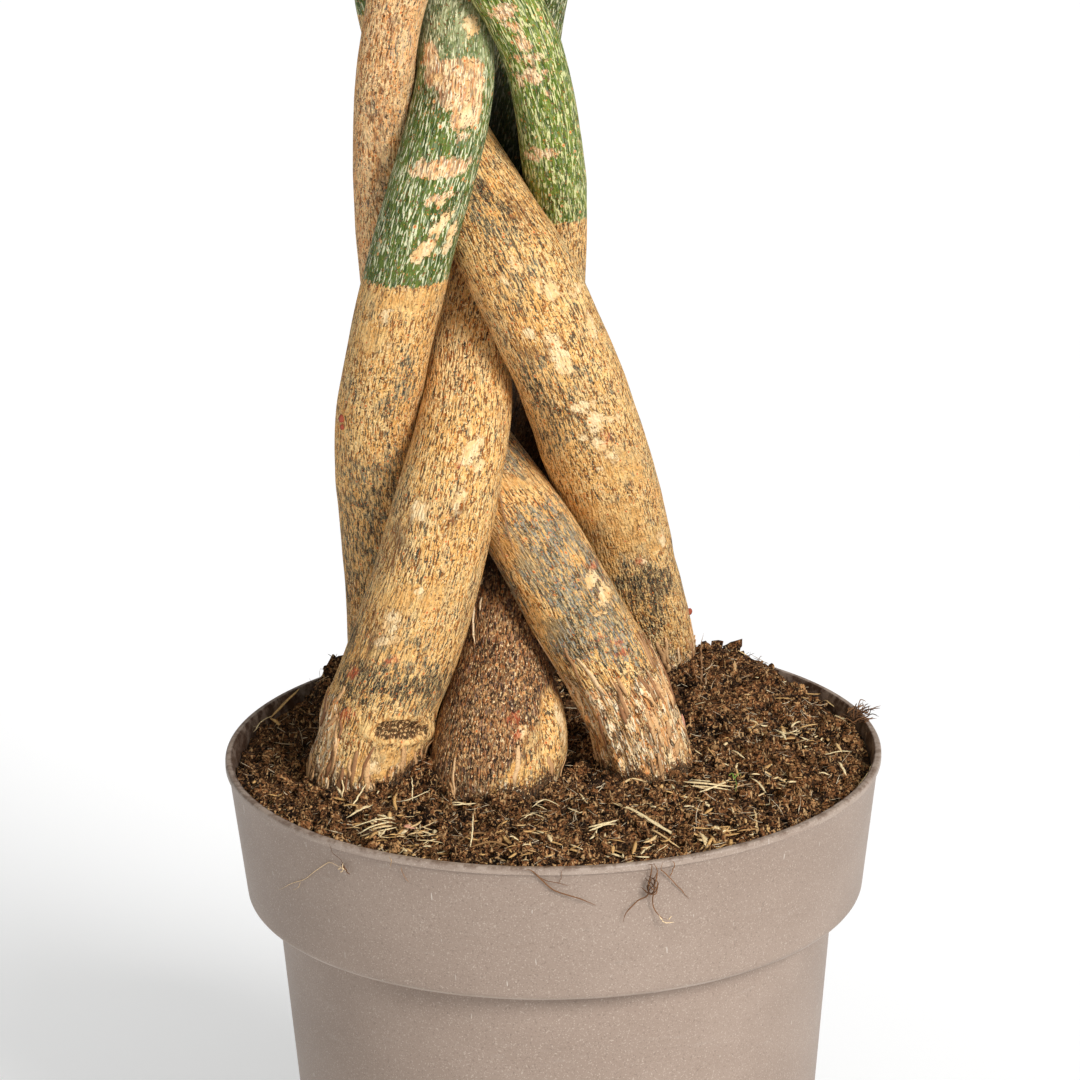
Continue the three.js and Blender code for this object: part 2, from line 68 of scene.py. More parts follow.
def makeCamera():
    right, up, ahead = cameraAxes()
    lens = bpy.data.cameras.new("photoCamera")
    lens.lens, lens.sensor_width = view["lens"], view["sensor"]
    camera = addObject("photoCamera", lens)
    camera.matrix_world = Matrix.Translation(view["place"]) @ Matrix((right, up, -ahead)).transposed().to_4x4()
    bpy.context.scene.camera = camera


def toPhoto(points):
    # a point's pixel: its offsets to the right and up over its depth, times the lens in pixels
    right, up, ahead = (np.array(axis) for axis in cameraAxes())
    offset = points / 1000 - np.array(view["place"])
    depth = offset @ ahead
    focal = view["lens"] / view["sensor"] * view["photo"]
    return view["photo"] / 2 + focal * (offset @ right) / depth, view["photo"] / 2 - focal * (offset @ up) / depth


def shownAt(points, pixels, visible=True):
    # for each of the photo's pixels, the index of the visible point that shows nearest to it
    columns, rows = toPhoto(points)
    away = np.hypot(columns - pixels[:, :1], rows - pixels[:, 1:2]) + np.where(visible, 0, view["photo"])
    return away.argmin(1)


makeCamera()
print("camera set")


# Shapes

lattice = 128  # points each way of the table of random heights


def mix(low, high, share):
    # a share of the way from low to high
    return low + (high - low) * share


def smoothStep(low, high, value):
    # 3 t squared less 2 t cubed, where t goes from 0 at low to 1 at high
    share = np.clip((value - low) / (high - low), 0, 1)
    return share * share * (3 - 2 * share)


def lumps(a, b, seed, around=lattice):
    # smooth random heights from -1 to 1: random numbers on a lattice, with eased steps between its points
    table = np.random.default_rng(seed).uniform(-1, 1, (lattice, lattice))
    i, j = np.floor(a).astype(int), np.floor(b).astype(int)
    u, v = a - i, b - j
    u, v = u * u * (3 - 2 * u), v * v * (3 - 2 * v)
    i, after = i % around, (i + 1) % around
    j, above = j % lattice, (j + 1) % lattice
    return mix(mix(table[i, j], table[after, j], u), mix(table[i, above], table[after, above], u), v)


def turns(count):
    # angles evenly round a circle
    return np.linspace(0, 2 * np.pi, count, endpoint=False)


def roundPoints(radius, angle, height):
    # the radius times the angle's cosine and sine, at a height
    return np.stack(np.broadcast_arrays(radius * np.cos(angle), radius * np.sin(angle), height), -1)


def bell(distance, spread):
    # e to the minus square of the distance over the spread
    return np.exp(-((distance / spread) ** 2))


def gridFaces(rows, columns, closed=True, first=0):
    # quads between neighbouring rows and columns; a closed grid joins its last column to its first
    row = np.arange(rows - 1)[:, None] * columns
    column = np.arange(columns if closed else columns - 1)[None, :]
    after = (column + 1) % columns
    quads = np.stack([row + column, row + after, row + columns + after, row + columns + column], -1)
    return quads.reshape(-1, 4) + first


def fanFaces(ring, centre, upward=True):
    # triangles from a ring's edges to one point in its middle
    after = np.roll(ring, -1)
    corners = (ring, after) if upward else (after, ring)
    return np.stack([*corners, np.full(len(ring), centre)], -1)


def closedFaces(rows, around, first=0):
    # a grid that closes round, with its first and last rings shut to two middle points that follow the grid's points
    ring, count = np.arange(around) + first, rows * around
    return [gridFaces(rows, around, first=first), fanFaces(ring, first + count, False),
            fanFaces(ring + count - around, first + count + 1)]


def withMiddles(grid):
    # a grid's values in one list, then those in the middle of its first and last rings
    flat = grid.reshape(-1, grid.shape[-1])
    return np.concatenate([flat, [grid[0].mean(0), grid[-1].mean(0)]])


def makePiece(name, points, faces, finish, slotName, marks=None):
    # faces is a list of arrays of corners; marks are values at the points, which the finish reads by name
    mesh = bpy.data.meshes.new(name)
    mesh.from_pydata((points / 1000).tolist(), [], [face for part in faces for face in part.tolist()])
    mesh.shade_smooth()
    for mark, values in (marks or {}).items():
        vector = values.ndim == 2
        layer = mesh.attributes.new(mark, "FLOAT_VECTOR" if vector else "FLOAT", "POINT")
        layer.data.foreach_set("vector" if vector else "value", values.astype(np.float32).ravel())
    mesh.materials.append(finish)
    piece = addObject(name, mesh)
    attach(piece, "root")
    return piece


# Finishes: a material's wires, and colours built up in layers

def linear(channel):
    # the screen's curve undone: a straight foot, and a power of 2.4 above it
    share = channel / 255
    return share / 12.92 if share <= 0.04045 else ((share + 0.055) / 1.055) ** 2.4


def tint(tone):
    # a colour from 0 to 255 as a socket wants it; a wire stays as it is
    return tone if isinstance(tone, Wire) else (*(linear(channel) for channel in tone), 1)


class Wire:
    # a socket of a material; sums and products of wires and numbers add their Math nodes
    def __init__(self, tree, socket=None):
        self.tree, self.socket = tree, socket

    def node(self, kind, settings=(), sockets=(), out=0):
        made = self.tree.nodes.new(kind)
        for key, value in dict(settings).items():
            setattr(made, key, value)
        for key, value in dict(sockets).items():
            if isinstance(value, Wire):
                self.tree.links.new(value.socket, made.inputs[key])
            else:
                made.inputs[key].default_value = value
        return Wire(self.tree, made.outputs[out])

    def math(self, operation, first, second=0.0):
        return self.node("ShaderNodeMath", {"operation": operation}, {0: first, 1: second})

    def __add__(self, other):
        return self.math("ADD", self, other)

    def __sub__(self, other):
        return self.math("SUBTRACT", self, other)

    def __rsub__(self, other):
        return self.math("SUBTRACT", other, self)

    def __mul__(self, other):
        return self.math("MULTIPLY", self, other)

    __radd__ = __add__
    __rmul__ = __mul__

    def size(self):
        return self.math("ABSOLUTE", self)

    def step(self, low, high):
        # 0 up to low and 1 from high on, eased between them
        return self.node("ShaderNodeMapRange", {"interpolation_type": "SMOOTHSTEP"},
                         {"Value": self, "From Min": low, "From Max": high})

    def blend(self, share, first, second):
        return self.node("ShaderNodeMix", {"data_type": "RGBA"}, {0: share, 6: tint(first), 7: tint(second)}, 2)

    def mark(self, name, out=2):
        return self.node("ShaderNodeAttribute", {"attribute_name": name}, out=out)

    def place(self):
        # a point's place on the object, in metres
        return self.node("ShaderNodeTexCoord", out=3)

    def parted(self, kind="ShaderNodeSeparateXYZ"):
        # the three numbers of a place or a colour
        first = self.node(kind, {}, {0: self})
        return [Wire(self.tree, socket) for socket in first.socket.node.outputs[:3]]

    def scaled(self, size, shift=0.0):
        # a place counted in lumps; size is one lump's length along each axis
        lengths = size if isinstance(size, tuple) else (size, size, size)
        return self.node("ShaderNodeVectorMath", {"operation": "MULTIPLY_ADD"},
                         {0: self, 1: tuple(1 / length for length in lengths), 2: (shift, shift, shift)})

    def noise(self, size, detail=2.0, rough=0.5, shift=0.0, out=0):
        return self.node("ShaderNodeTexNoise", {}, {"Vector": self.scaled(size, shift), "Scale": 1.0,
                                                     "Detail": detail, "Roughness": rough}, out)

    def noises(self, *numbers):
        # three unrelated noises, from the colours of one
        return self.noise(*numbers, 1).parted("ShaderNodeSeparateColor")

    def dots(self, size, out=0):
        return self.node("ShaderNodeTexVoronoi", {}, {"Vector": self.scaled(size), "Scale": 1.0}, out)


def newFinish(name):
    finish = bpy.data.materials.new(name)
    finish.use_nodes = True
    return finish, Wire(finish.node_tree)


def findPatterns(place, patterns):
    # each pattern is one noise under its name, or the three noises of a colour under three names
    parts = {}
    for name, numbers in patterns.items():
        if isinstance(name, tuple):
            parts.update(zip(name, place.noises(*numbers)))
        else:
            parts[name] = place.noise(*numbers)
    return parts


def coated(wire, parts, coat):
    # A tone under layers. A layer is its tone, its share and what it shows on: the name of a part, or the name of a
    # pattern and the two values between which it comes in. A tone may be a part too.
    colour, *layers = coat
    for tone, share, *covers in layers:
        for cover in covers:
            share = share * (parts[cover] if isinstance(cover, str) else parts[cover[0]].step(*cover[1:]))
        colour = wire.blend(share, parts.get(colour, colour), parts.get(tone, tone))
    return colour


def applyFinish(finish, wire, colour, rough, height, lift, strength=1.0, specular=0.5):
    # lift is the relief's height in metres
    shader = finish.node_tree.nodes["Principled BSDF"]
    bump = wire.node("ShaderNodeBump", {}, {"Height": height, "Distance": lift, "Strength": strength})
    for name, source in (("Base Color", colour), ("Roughness", rough), ("Normal", bump)):
        wire.tree.links.new(source.socket, shader.inputs[name])
    shader.inputs["Specular IOR Level"].default_value = specular
    return finish


# Pot

pot = {
    "height": 240, "rimRadius": 135, "lipHeight": 3.3, "lipProud": 1.1,
    "bandTopRadius": 133.8, "bandBaseRadius": 127.4, "bandBase": 180, "bandRound": 4,
    "shoulderRadius": 115.4, "baseRadius": 100, "baseRound": 3, "wall": 2, "floor": 2.5,
    "sides": 192, "arcSteps": 7, "wallSteps": 24, "bandSteps": 10, "sharpFrom": 35,
    "besideEdge": 0.6,  # how far from an edge the ring lies that keeps it crisp
    "holes": 8, "holeRadius": 5, "holeCircle": 70, "holeSides": 24, "holeCut": (-5, 8),
    "patterns": {  # one lump's length in metres, detail, roughness, shift
        "speck": (0.0006, 1.0), "grain": (0.0009, 2.0, 0.6, 3.0), "dirt": (0.006, 5.0, 0.7, 2.0),
        "cloud": ((0.05, 0.05, 0.03), 3.0), "smear": ((0.02, 0.02, 0.003), 3.0, 0.6, 4.0),
        "scratch": ((0.0012, 0.0012, 0.02), 1.0, 0.5, 33.0), "splash": ((0.008, 0.008, 0.005), 6.0, 0.75, 9.0),
    },
    "coat": [
        (149, 130, 116),
        ((157, 138, 124), 1, ("cloud", 0.3, 0.7)),
        ((204, 188, 172), 0.5, ("speck", 0.57, 0.72)),
        ((106, 88, 75), 0.4, ("grain", 0.44, 0.32)),
        ((186, 174, 162), 0.12, ("smear", 0.6, 0.75)),
        # painted highlight along the band's lower edge and over the lip, broken by smears
        ((206, 190, 176), 0.4, "worn", ("smear", 0.3, 0.6)),
        ((222, 212, 200), 0.6, ("scratch", 0.78, 0.8)),
        ((92, 66, 47), 0.6, ("height", 0.238, 0.2398), ("dirt", 0.44, 0.6)),
        # soil stain and painted shade on the inner wall above the band's base
        ((70, 48, 34), 1, ("depth", -0.0008, -0.0014), ("height", 0.182, 0.19), "dirty"),
        ((96, 70, 52), 0.5, ("splash", 0.71, 0.76), ("height", 0.12, 0.2)),
    ],
}


def arcPoints(centre, radius, start, end):
    # the centre plus the radius times the cosine and sine of even angles
    angles = np.radians(np.linspace(start, end, pot["arcSteps"]))
    return np.stack([centre[0] + radius * np.cos(angles), centre[1] + radius * np.sin(angles)], -1)


def straightPoints(start, end, steps):
    # even steps between two places, without its ends
    return np.linspace(start, end, steps + 1)[1:-1]


def potProfile():
    # radius and height, from the middle of the underside, up the outside, over the lip and down the inside
    base, shoulder, beside = pot["baseRadius"], pot["shoulderRadius"], pot["besideEdge"]
    band, top, wall = pot["bandBaseRadius"], pot["bandTopRadius"], pot["wall"]
    under, lip, rim = pot["bandBase"], pot["height"] - pot["lipHeight"], pot["rimRadius"]
    foot = arcPoints((base - pot["baseRound"], pot["baseRound"]), pot["baseRound"], -90, 0)
    turn = arcPoints((band - pot["bandRound"], under + pot["bandRound"]), pot["bandRound"], -90, 0)
    over = arcPoints((rim - pot["lipProud"], pot["height"] - pot["lipProud"]), pot["lipProud"], 0, 90)
    inside = [
        [top - wall + beside, pot["height"]], [top - wall, pot["height"] - 1],
        [band - wall, under + wall + 1], [band - wall - 1.5, under + wall],
        [shoulder - wall, under + wall], [base - wall, pot["floor"]],
    ]
    return np.concatenate([
        [[foot[0][0] - beside, 0]], foot, straightPoints(foot[-1], (shoulder, under), pot["wallSteps"]),
        [[shoulder - 0.03, under - beside], [shoulder, under], [shoulder + beside, under]], turn,
        straightPoints(turn[-1], (top, lip), pot["bandSteps"]), [[top, lip - 0.4], [top + 0.2, lip], [rim, lip + 0.5]],
        over, inside,
    ])


def drainCutter():
    # eight round posts through the floor, as one mesh
    angles, sides = turns(pot["holeSides"]), pot["holeSides"]
    points, faces = [], []
    for hole in range(pot["holes"]):
        turn = 2 * math.pi * (hole + 0.5) / pot["holes"]
        centre = pot["holeCircle"] * np.array([math.cos(turn), math.sin(turn), 0])
        first = hole * 2 * sides
        points += [centre + roundPoints(pot["holeRadius"], angles, z) for z in pot["holeCut"]]
        ends = np.arange(first, first + 2 * sides).reshape(2, sides)
        faces += [*gridFaces(2, sides, first=first).tolist(), ends[0, ::-1].tolist(), ends[1].tolist()]
    mesh = bpy.data.meshes.new("drainCutter")
    mesh.from_pydata((np.concatenate(points) / 1000).tolist(), [], faces)
    return addObject("drainCutter", mesh)


def potFinish():
    finish, wire = newFinish("taupePlastic")
    place = wire.place()
    parts = findPatterns(place, pot["patterns"])
    height = parts["height"] = place.parted()[2]
    flat = wire.node("ShaderNodeVectorMath", {"operation": "MULTIPLY"}, {0: place, 1: (1, 1, 0)})
    outward = wire.node("ShaderNodeVectorMath", {"operation": "LENGTH"}, {0: flat}, 1)
    under = pot["bandBase"] / 1000
    # painted highlight: a thin lighter line along the band's lower edge, and the whole lip lighter
    bandEdgeHighlight = height.step(under - 0.001, under) * height.step(under + 0.0022, under + 0.0012)
    parts["worn"] = bandEdgeHighlight + 0.5 * height.step(0.2366, 0.2374)
    # how far out a place lies from the line of the band's outside: less than nothing on the inner wall
    wallSlope = (pot["bandTopRadius"] - pot["bandBaseRadius"]) / (pot["height"] - pot["bandBase"])
    parts["depth"] = outward - (height - under) * wallSlope - pot["bandBaseRadius"] / 1000
    # soil stain and painted shade on the inner wall, patchy with the dirt
    parts["dirty"] = 0.35 + 0.65 * parts["dirt"].step(0.35, 0.6)
    rough = 0.42 + 0.14 * parts["grain"].step(0.3, 0.7)
    relief = parts["speck"] * 0.5 + parts["grain"]
    return applyFinish(finish, wire, coated(wire, parts, pot["coat"]), rough, relief, 0.00012, 0.6, 0.4)


def makePot(finish):
    # the profile turned round the upright axis, with the holes cut out of its floor
    profile = potProfile()
    rings = roundPoints(profile[:, :1], turns(pot["sides"]), profile[:, 1:])
    points = np.concatenate([rings.reshape(-1, 3), [[0, 0, 0], [0, 0, pot["floor"]]]])
    piece = makePiece("nurseryPot", points, closedFaces(len(profile), pot["sides"]), finish, "pot")
    cutter = drainCutter()
    cut = piece.modifiers.new("drain", "BOOLEAN")
    cut.operation, cut.solver, cut.object = "DIFFERENCE", "EXACT", cutter
    whole = bpy.data.meshes.new_from_object(piece.evaluated_get(bpy.context.evaluated_depsgraph_get()))
    piece.modifiers.clear()
    piece.data = whole
    bpy.data.objects.remove(cutter)
    whole.shade_smooth()
    whole.set_sharp_from_angle(angle=math.radians(pot["sharpFrom"]))
    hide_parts("pot")


makePot(potFinish())
print("pot made")


# Trunks: the same lines through the braid as the solids follow, with a finer skin

ways = {  # height, x, y, radius
    "left_front": [
        [150, -70, -20, 15], [185, -79, -23, 21], [215, -77.5, -23, 23], [240, -75, -23, 23],
        [262, -70.5, -22, 22], [285, -61.5, -20, 21.8], [312, -53, -18, 21.4], [347, -44.5, -16, 20.2],
        [380, -36.5, -8, 18.4], [415, -30, 10, 15.8], [450, -22.5, 23, 13.6], [490, -14, 28, 12.5],
        [545, -7, 27, 12.2],
    ],
    "middle_front": [
        [150, -24, -40, 16], [205, -24, -44, 25], [240, -23, -44, 26], [256, -21.5, -42, 25.6],
        [275, -20, -36, 20.8], [292, -18, -24, 16.4], [318, -14, 14, 14.2], [345, -9, 42, 14],
        [375, -3.5, 50, 13.8], [410, -1.5, 42, 13], [440, -1.5, 28, 12.3], [470, -2, 10, 12],
        [490, -2, -1, 12], [516, -3, -7, 11.6], [545, -8, -9, 11.4],
    ],
    "right_front": [
        [150, 44, -20, 14], [205, 42, -21, 17], [240, 36, -21, 17.6], [262, 30.5, -18, 17.8],
        [285, 20, -10, 18.2], [304, 8, -3, 18.4], [335, -10.5, 10, 17.6], [368, -35, 24, 16.4],
        [392, -50, 30, 15.4], [416, -57.5, 30, 14.2], [445, -60, 22, 13], [472, -60.5, 9, 12],
        [500, -60, -1, 11.2], [525, -58, -7, 10.9], [552, -55.5, -9, 10.8],
    ],
    "right_back": [
        [150, 34, 72, 14], [185, 40, 81, 18], [215, 42, 87, 20], [240, 41, 86, 20],
        [265, 38.5, 76, 20.2], [293, 32, 57, 20.8], [327, 25.5, 35, 20.8], [350, 21, 20, 20.9],
        [370, 16, 10, 21], [390, 11, 2, 21], [410, 5, -5, 20.8], [434, -4.5, -8, 20.6],
        [455, -14, -6, 20], [475, -25.5, 3, 18.4], [495, -37, 14, 16.6], [515, -47, 21, 15],
        [535, -56, 24, 13.8], [555, -60.5, 20, 13],
    ],
    "left_back": [
        [150, -56, 55, 14], [185, -64, 62, 17], [215, -67, 59, 19], [246, -66, 54, 18.8],
        [290, -66, 43, 18], [341, -66.5, 22, 17.6], [367, -66.5, 7, 17], [391, -64.4, -3, 16.4],
        [415, -60.6, -8, 16], [442, -55.5, -11, 16], [470, -49, -12, 15.9], [500, -41, -10, 15.6],
        [525, -36, -5, 15], [553, -33, 6, 14],
    ],
}

braid = {
    "start": 575, "end": 860, "turn": 500, "even": 665, "axisX": (-33, -27), "axisY": 9,
    "radius": (12.2, 9.6), "width": 2.35, "depth": 1.45,
    "phase": {"left_front": 194, "middle_front": 266, "right_front": 50, "right_back": 338, "left_back": 122},
    "lead": {"left_front": -6, "middle_front": -16, "right_front": 2, "right_back": 17, "left_back": -6},
    "top": {"left_front": 858, "middle_front": 866, "right_front": 850, "right_back": 862, "left_back": 846},
}

trunk = {
    "foot": 150, "head": 870, "level": 10,
    "rounds": 400, "clear": 2.2, "sideways": 0.1, "push": 0.25, "longestPush": 1.5, "easing": 0.5,
    "thicker": 0.7,  # the round skin over the solid's flat sides
    "around": 136, "rows": ((150, 214, 5), (214, 560, 1.9), (560, 900, 5.5)),  # from, to and apart
    "cap": ((0.94, 0.7), (0.8, 0.8), (0.4, 0.8)),  # the cut top's rings: share of the radius, and how far up
}

levels = np.arange(trunk["foot"], trunk["head"] + 1, trunk["level"], dtype=float)


def curveThrough(points, heights):
    # a cubic between each two neighbours, whose slopes at a point are those of the line between its neighbours
    points = np.asarray(points, float)
    index = np.arange(len(points))
    before, after = points[np.maximum(index - 1, 0)], points[np.minimum(index + 1, len(points) - 1)]
    slope = (after - before) / (after[:, :1] - before[:, :1])
    i = np.clip(np.searchsorted(points[:, 0], heights) - 1, 0, len(points) - 2)
    low, high = points[i], points[i + 1]
    span = high[:, :1] - low[:, :1]
    t = (np.asarray(heights)[:, None] - low[:, :1]) / span
    return ((2 * t**3 - 3 * t**2 + 1) * low + (t**3 - 2 * t**2 + t) * span * slope[i]
            + (3 * t**2 - 2 * t**3) * high + (t**3 - t**2) * span * slope[i + 1])


def braidPoint(name, height):
    # a figure of eight round the braid's axis, which rises as it turns
    part = (height - braid["start"]) / (braid["end"] - braid["start"])
    radius = mix(*braid["radius"], part)
    fading = max(0, (braid["even"] - height) / (braid["even"] - braid["start"])) ** 2
    turned = 360 * (height - braid["start"]) / braid["turn"]
    angle = math.radians(braid["phase"][name] + turned + fading * braid["lead"][name])
    return [height, mix(*braid["axisX"], part) - braid["width"] * radius * math.cos(angle),
            braid["axisY"] - braid["depth"] * radius * math.sin(2 * angle), radius]


def settle(tracks):
    # neighbours that overlap at a level push each other off, mostly in depth, and less and less smoothing follows
    place, radius = tracks[:, :, 1:3].copy(), tracks[:, :, 3]
    start = place.copy()
    pairs = [(one, two) for one in range(len(place)) for two in range(one + 1, len(place))]
    for turn in range(trunk["rounds"]):
        slope = np.gradient(place, trunk["level"], axis=1)
        moves = np.zeros_like(place)
        for one, two in pairs:
            way = place[two] - place[one]
            apart = np.linalg.norm(way, axis=1)
            way /= apart[:, None]
            reach = sum(radius[n] * np.hypot(1, (slope[n] * way).sum(1)) for n in (one, two))
            lack = np.maximum(reach + trunk["clear"] - apart, 0)[:, None]
            along = trunk["sideways"] * way[:, :1] ** 2 + way[:, 1:] ** 2
            step = np.clip(way * (trunk["sideways"], 1) / along, -trunk["longestPush"], trunk["longestPush"])
            moves[one] -= trunk["push"] * lack * step
            moves[two] += trunk["push"] * lack * step
        off = place + moves - start
        soft = 0.25 * off[:, :-2] + 0.5 * off[:, 1:-1] + 0.25 * off[:, 2:]
        off[:, 1:-1] = mix(off[:, 1:-1], soft, trunk["easing"] * (1 - turn / trunk["rounds"]))
        place = start + off
    return np.concatenate([tracks[:, :, :1], place, tracks[:, :, 3:]], 2)


def allTracks():
    # each trunk's middle and radius at every level, through its own points and then the braid's
    upper = np.arange(braid["start"], trunk["head"] + 30, 20)
    guides = {name: way + [braidPoint(name, height) for height in upper] for name, way in ways.items()}
    tracks = settle(np.stack([curveThrough(guide, levels) for guide in guides.values()]))
    return dict(zip(ways, tracks))


tracks = allTracks()
print("braid settled")


# Soil: the solid's surface, with the roughness of peat

soil = {
    "edge": 232.5, "middle": 241, "gap": 0.3, "around": 300, "rings": 168, "ripple": 0.9,
    "mounds": ((66, 84, 13, 32), (-72, 88, 12, 26), (-100, -10, -3, 30)),  # x, y, height and spread
    "heaps": ((-50, -37, 9, 9), (58, 22, 6, 13), (12, -14, 5, 12), (-93, 66, 15, 8)),
    "roundTrunks": (0.8, 6),  # how high it climbs at a trunk, and how far off that fades
    "peat": ((2.3, 8.0), (2.2, 4.0), (1.3, 1.8)),  # height and size of its coarse, lumpy and fine parts
    "patterns": {  # one lump's length in metres, detail, roughness, shift
        "clod": (0.004, 4.0, 0.65), "fleck": (0.0013, 1.0, 0.5, 5.0), "speck": (0.0011, 1.0, 0.5, 15.0),
        "pit": (0.0008, 1.0, 0.5, 25.0), "strand": ((0.0012, 0.007, 0.003), 1.5, 0.5, 9.0),
        "crossing": ((0.007, 0.0012, 0.003), 1.5, 0.5, 19.0), "broad": (0.03, 2.0, 0.5, 13.0),
    },
    "coat": [
        (38, 23, 13),
        ((142, 94, 57), 1, ("clod", 0.42, 0.6)),
        ((154, 104, 64), 0.35, ("broad", 0.46, 0.66)),
        # darker towards the back on the left
        ((66, 43, 26), 0.45, "damp"),
        ((140, 98, 60), 0.4, ("shade", 0.55, 0.7)),
        ((206, 156, 104), 0.7, ("shade", 0.93, 0.96)),
        ((14, 8, 5), 0.9, ("fleck", 0.51, 0.41)),
        ((214, 166, 112), 1, ("speck", 0.6, 0.64), "dry"),
        ((12, 7, 4), 0.85, ("pit", 0.57, 0.63)),
        ((220, 180, 128), 0.7, ("strand", 0.64, 0.68)),
        ((200, 156, 106), 0.6, ("crossing", 0.65, 0.69)),
        # painted shade in the peat's hollows
        ((16, 9, 5), 0.85, ("sunk", -0.4, 2.4)),
    ],
}


def piled(height, x, y, heaps):
    # each heap adds its own height, times e to the minus squared distance over its squared spread
    for heapX, heapY, tall, spread in heaps:
        height = height + tall * np.exp(-((x - heapX) ** 2 + (y - heapY) ** 2) / spread**2)
    return height


def soilHeight(x, y):
    # a flat crown that falls to the wall with the fifth power of the radius, a ripple, and round mounds
    reach = np.minimum(1, np.hypot(x, y) / (pot["bandTopRadius"] - pot["wall"]))
    height = mix(soil["middle"], soil["edge"], reach**5) + soil["ripple"] * np.sin(x / 13) * np.cos(y / 11 + 1)
    return piled(height, x, y, soil["mounds"])


def offTrunks(x, y):
    # how far outside each trunk a place on the soil lies
    for track in tracks.values():
        centre = curveThrough(track, np.array([soil["middle"]]))[0]
        yield np.hypot(x - centre[1], y - centre[2]) - centre[3]


def heaped(x, y):
    # the soil as it lies: it climbs a little where a trunk stands in it
    height = piled(soilHeight(x, y), x, y, soil["heaps"])
    climb, fade = soil["roundTrunks"]
    for away in offTrunks(x, y):
        height = height + climb * np.exp(-np.maximum(away, 0) / fade)
    return height


def peat(x, y):
    # lumps of three sizes, each with lumps half as high and about half as wide on them
    for seed, (tall, size) in enumerate(soil["peat"]):
        lump = lumps(x / size + 50, y / size + 50, 60 + seed) + 0.5 * lumps(x / size * 1.9, y / size * 1.9, 70 + seed)
        yield tall * lump


def peatHeight(x, y):
    rim = smoothStep(134, 122, np.hypot(x, y))
    return heaped(x, y) + sum(peat(x, y)) * (0.45 + 0.55 * rim)


def soilFinish():
    finish, wire = newFinish("peat")
    place = wire.place()
    parts = findPatterns(place, soil["patterns"])
    parts.update(shade=wire.mark("shade"), sunk=wire.mark("sunk"))
    x, y = place.parted()[:2]
    # the soil is darker towards the back on the left, with fewer pale specks there
    damp = parts["damp"] = (y - x * 0.4).step(-0.01, 0.09)  # towards the back on the left
    parts["dry"] = 0.75 - 0.35 * damp
    rough = 0.88 + 0.08 * parts["clod"]
    relief = parts["clod"] + parts["fleck"] * 0.5
    return applyFinish(finish, wire, coated(wire, parts, soil["coat"]), rough, relief, 0.0012, 1.0, 0.12)


def makeSoil(finish):
    # rings over the top, closer towards the edge, then down inside the pot's walls to its floor
    wall, gap, angles = pot["wall"], soil["gap"], turns(soil["around"])
    foot, head = pot["bandBase"] + wall + 1, pot["height"] - 1  # of the pot's sloping inner wall
    share = (soil["edge"] - foot) / (head - foot)
    edge = mix(pot["bandBaseRadius"], pot["bandTopRadius"], share) - wall - 2 * gap
    radii = edge * np.linspace(0, 1, soil["rings"] + 1)[1:] ** 0.85
    x, y = radii[:, None] * np.cos(angles), radii[:, None] * np.sin(angles)
    top = np.stack([x, y, peatHeight(x, y)], -1)[::-1]
    low, ledge = pot["floor"] + gap, pot["bandBase"] + wall + gap
    under = np.array([
        (pot["baseRadius"] - wall - gap, low), (pot["shoulderRadius"] - wall - gap, ledge),
        (pot["bandBaseRadius"] - wall - 1.5 - 2 * gap, ledge), (pot["bandBaseRadius"] - wall - 2 * gap, ledge + 1.2),
    ])
    rows = np.concatenate([roundPoints(under[:, :1], angles, under[:, 1:]), top])
    points = np.concatenate([rows.reshape(-1, 3), [[0, 0, low], [0, 0, peatHeight(np.zeros(1), np.zeros(1))[0]]]])
    # painted shade: how deep the peat's lumps sink, which the finish darkens
    sunk = -sum(peat(points[:, 0], points[:, 1]))
    piece = makePiece("soilFill", points, closedFaces(len(rows), soil["around"]), finish, "soil", {"sunk": sunk})
    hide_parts("soil")


peatFinish = soilFinish()
makeSoil(peatFinish)
print("soil made")
